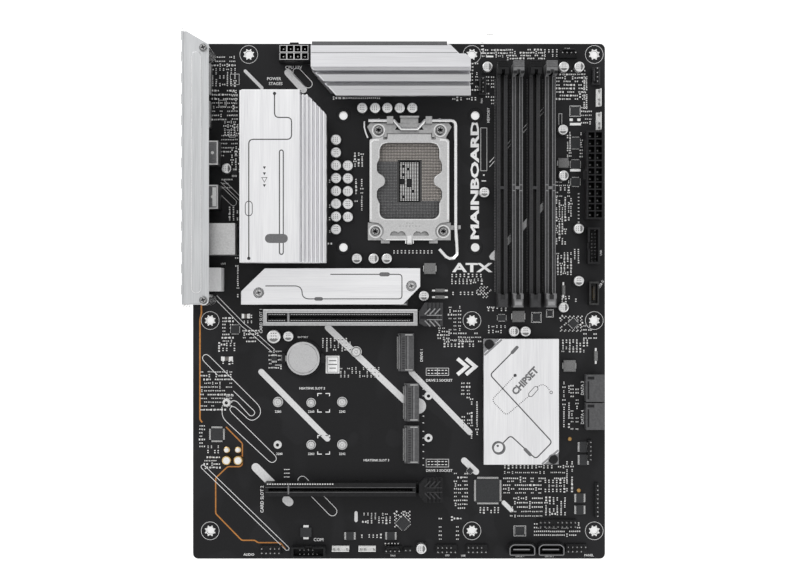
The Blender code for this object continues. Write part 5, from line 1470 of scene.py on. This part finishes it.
def make_solder_joints():
    """Solder points under everything with through pins."""
    joints = Shape()
    (x0, y0), (x1, y1) = MAIN_POWER, CPU_POWER
    for row in (-PLUG_ROW, PLUG_ROW):
        for step in range(12):
            solder_point(joints, x0 + row, y0 + (step - 5.5) * PLUG_PITCH, 1.2, 1.3)
        for step in range(4):
            solder_point(joints, x1 + (step - 1.5) * PLUG_PITCH, y1 + row, 1.2, 1.3)
    for y in PCIE_Y:
        for k in range(82):
            solder_point(joints, -75.6 + 1.02 * k, y + (-2.2, -0.8, 0.8, 2.2)[k % 4], 0.45, 0.7)
    for x in DIMM_X:
        for y in (-1.0, 66.6, 134.0):
            for shift in (-1.6, 1.6):
                solder_point(joints, x + shift, y, 0.9, 1.0)
    for x, y in CANS:
        for shift in (-1.2, 1.2):
            solder_point(joints, x + shift, y, 0.7, 0.8)
    for x, y, columns, rows in (
            (-75.6, -146.8, 5, 2), (28.0, -146.2, 5, 2), (46.0, -146.2, 5, 2), (104.5, -145.8, 5, 2),
            (93.4, -131.4, 9, 2), (-53.2, -147.3, 5, 2), (114.2, 32.6, 2, 10), (116.7, -117.4, 1, 8),
            (-34.5, -145.9, 4, 1), (-18.8, -145.9, 4, 1), (49.3, 127.0, 1, 4), (99.8, 145.9, 4, 1),
            (115.4, 132.9, 1, 4), (-3.7, -146.6, 4, 1)):
        for i in range(columns):
            for j in range(rows):
                across, along = (i - (columns - 1) / 2) * 2.4, (j - (rows - 1) / 2) * 2.4
                solder_point(joints, x + across, y + along, 0.75, 1.0)
    for y0, y1, inner in ((121.2, 139.8, -110.0), (102.0, 117.4, -112.0), (79.2, 93.4, -107.0),
                          (53.6, 67.8, -107.0), (26.8, 44.9, -98.0), (5.8, 19.6, -104.0)):
        for y in (y0 + 1.0, y1 - 1.0):
            for x in (-119.0, inner):
                solder_point(joints, x, y, 1.5, 1.6)
        for k in range(6):
            solder_point(joints, inner + 1.6 * (k % 2), y0 + 3.0 + (y1 - y0 - 6.0) * k / 5, 0.7, 1.0)
    piece("solder_joints", joints, TIN)


def make_underside():
    make_solder_joints()
    small, ends = shapes(2)
    draw = random.Random(5)
    for x0, y0, columns, rows in ((-4.0, 62.0, 8, 7), (60.0, -50.0, 12, 10), (40.0, -104.0, 10, 8),
                                  (-108.0, -70.0, 6, 8), (92.0, 60.0, 5, 10), (-90.0, 60.0, 6, 20)):
        for i in range(columns):
            for j in range(rows):
                if draw.random() < 0.3:
                    continue
                x, y = x0 + 2.4 * i, y0 + 2.2 * j
                small.bar(x, y, (-0.5, 0.06), 1.0, 0.6)
                for side in (-1, 1):
                    ends.bar(x + side * 0.62, y, (-0.52, 0.06), 0.44, 0.68)
    piece("underside_parts", small, CERAMIC)
    piece("underside_terminals", ends, TIN)


# ---- studio ----
WHITE = (1.0, 1.0, 1.0, 1.0)


def make_floor(half=6.0):
    """White paper that glows a little, so that shadows stay soft."""
    mesh = bpy.data.meshes.new("floor")
    mesh.from_pydata([(sx * half, sy * half, 0.0) for sx, sy in CORNERS], [], [(0, 1, 2, 3)])
    floor = bpy.data.objects.new("floor", mesh)
    floor.location = (0.0, 0.0, FLOOR_Z * MM)
    bpy.context.scene.collection.objects.link(floor)
    paper = finish("floor_paper", 0.62, 0.60, 0.9, shine=0.1)
    glow = paper.node_tree.nodes["Principled BSDF"].inputs
    glow["Emission Color"].default_value = WHITE
    glow["Emission Strength"].default_value = 0.75
    mesh.materials.append(paper)


def make_light(name, place, size, power):
    """Square lamp that faces the origin; its place and size are in metres."""
    data = bpy.data.lights.new(name, "AREA")
    data.size = size
    data.energy = power
    lamp = bpy.data.objects.new(name, data)
    lamp.location = place
    lamp.rotation_euler = (-Vector(place)).to_track_quat("-Z", "Y").to_euler()
    bpy.context.scene.collection.objects.link(lamp)


def make_camera():
    """The photo's view: straight down from 0.88 m, a little off the middle of the board."""
    data = bpy.data.cameras.new("camera")
    data.sensor_width = 36.0
    data.lens = 68.1
    camera = bpy.data.objects.new("camera", data)
    camera.location = (-3.55 * MM, 4.56 * MM, 0.8816)
    bpy.context.scene.collection.objects.link(camera)
    bpy.context.scene.camera = camera


def make_studio():
    scene = bpy.context.scene
    scene.view_settings.view_transform = "Standard"
    scene.world = bpy.data.worlds.new("studio")
    scene.world.use_nodes = True
    sky = scene.world.node_tree.nodes["Background"].inputs
    sky["Color"].default_value = WHITE
    sky["Strength"].default_value = 0.80
    make_floor()
    make_light("key", (-0.7, 0.9, 0.85), 0.6, 5.0)
    make_light("fill", (1.0, -0.6, 0.8), 0.9, 2.5)
    make_camera()


make_studio()
make_board()
make_white_print()
make_grey_print()
make_tracks()
make_small_parts()
make_capacitors()
make_heatsinks()
make_socket()
make_memory_slots()
make_expansion_slots()
make_drive_sockets()
make_coin_cell()
make_connectors()
make_rear()
make_underside()
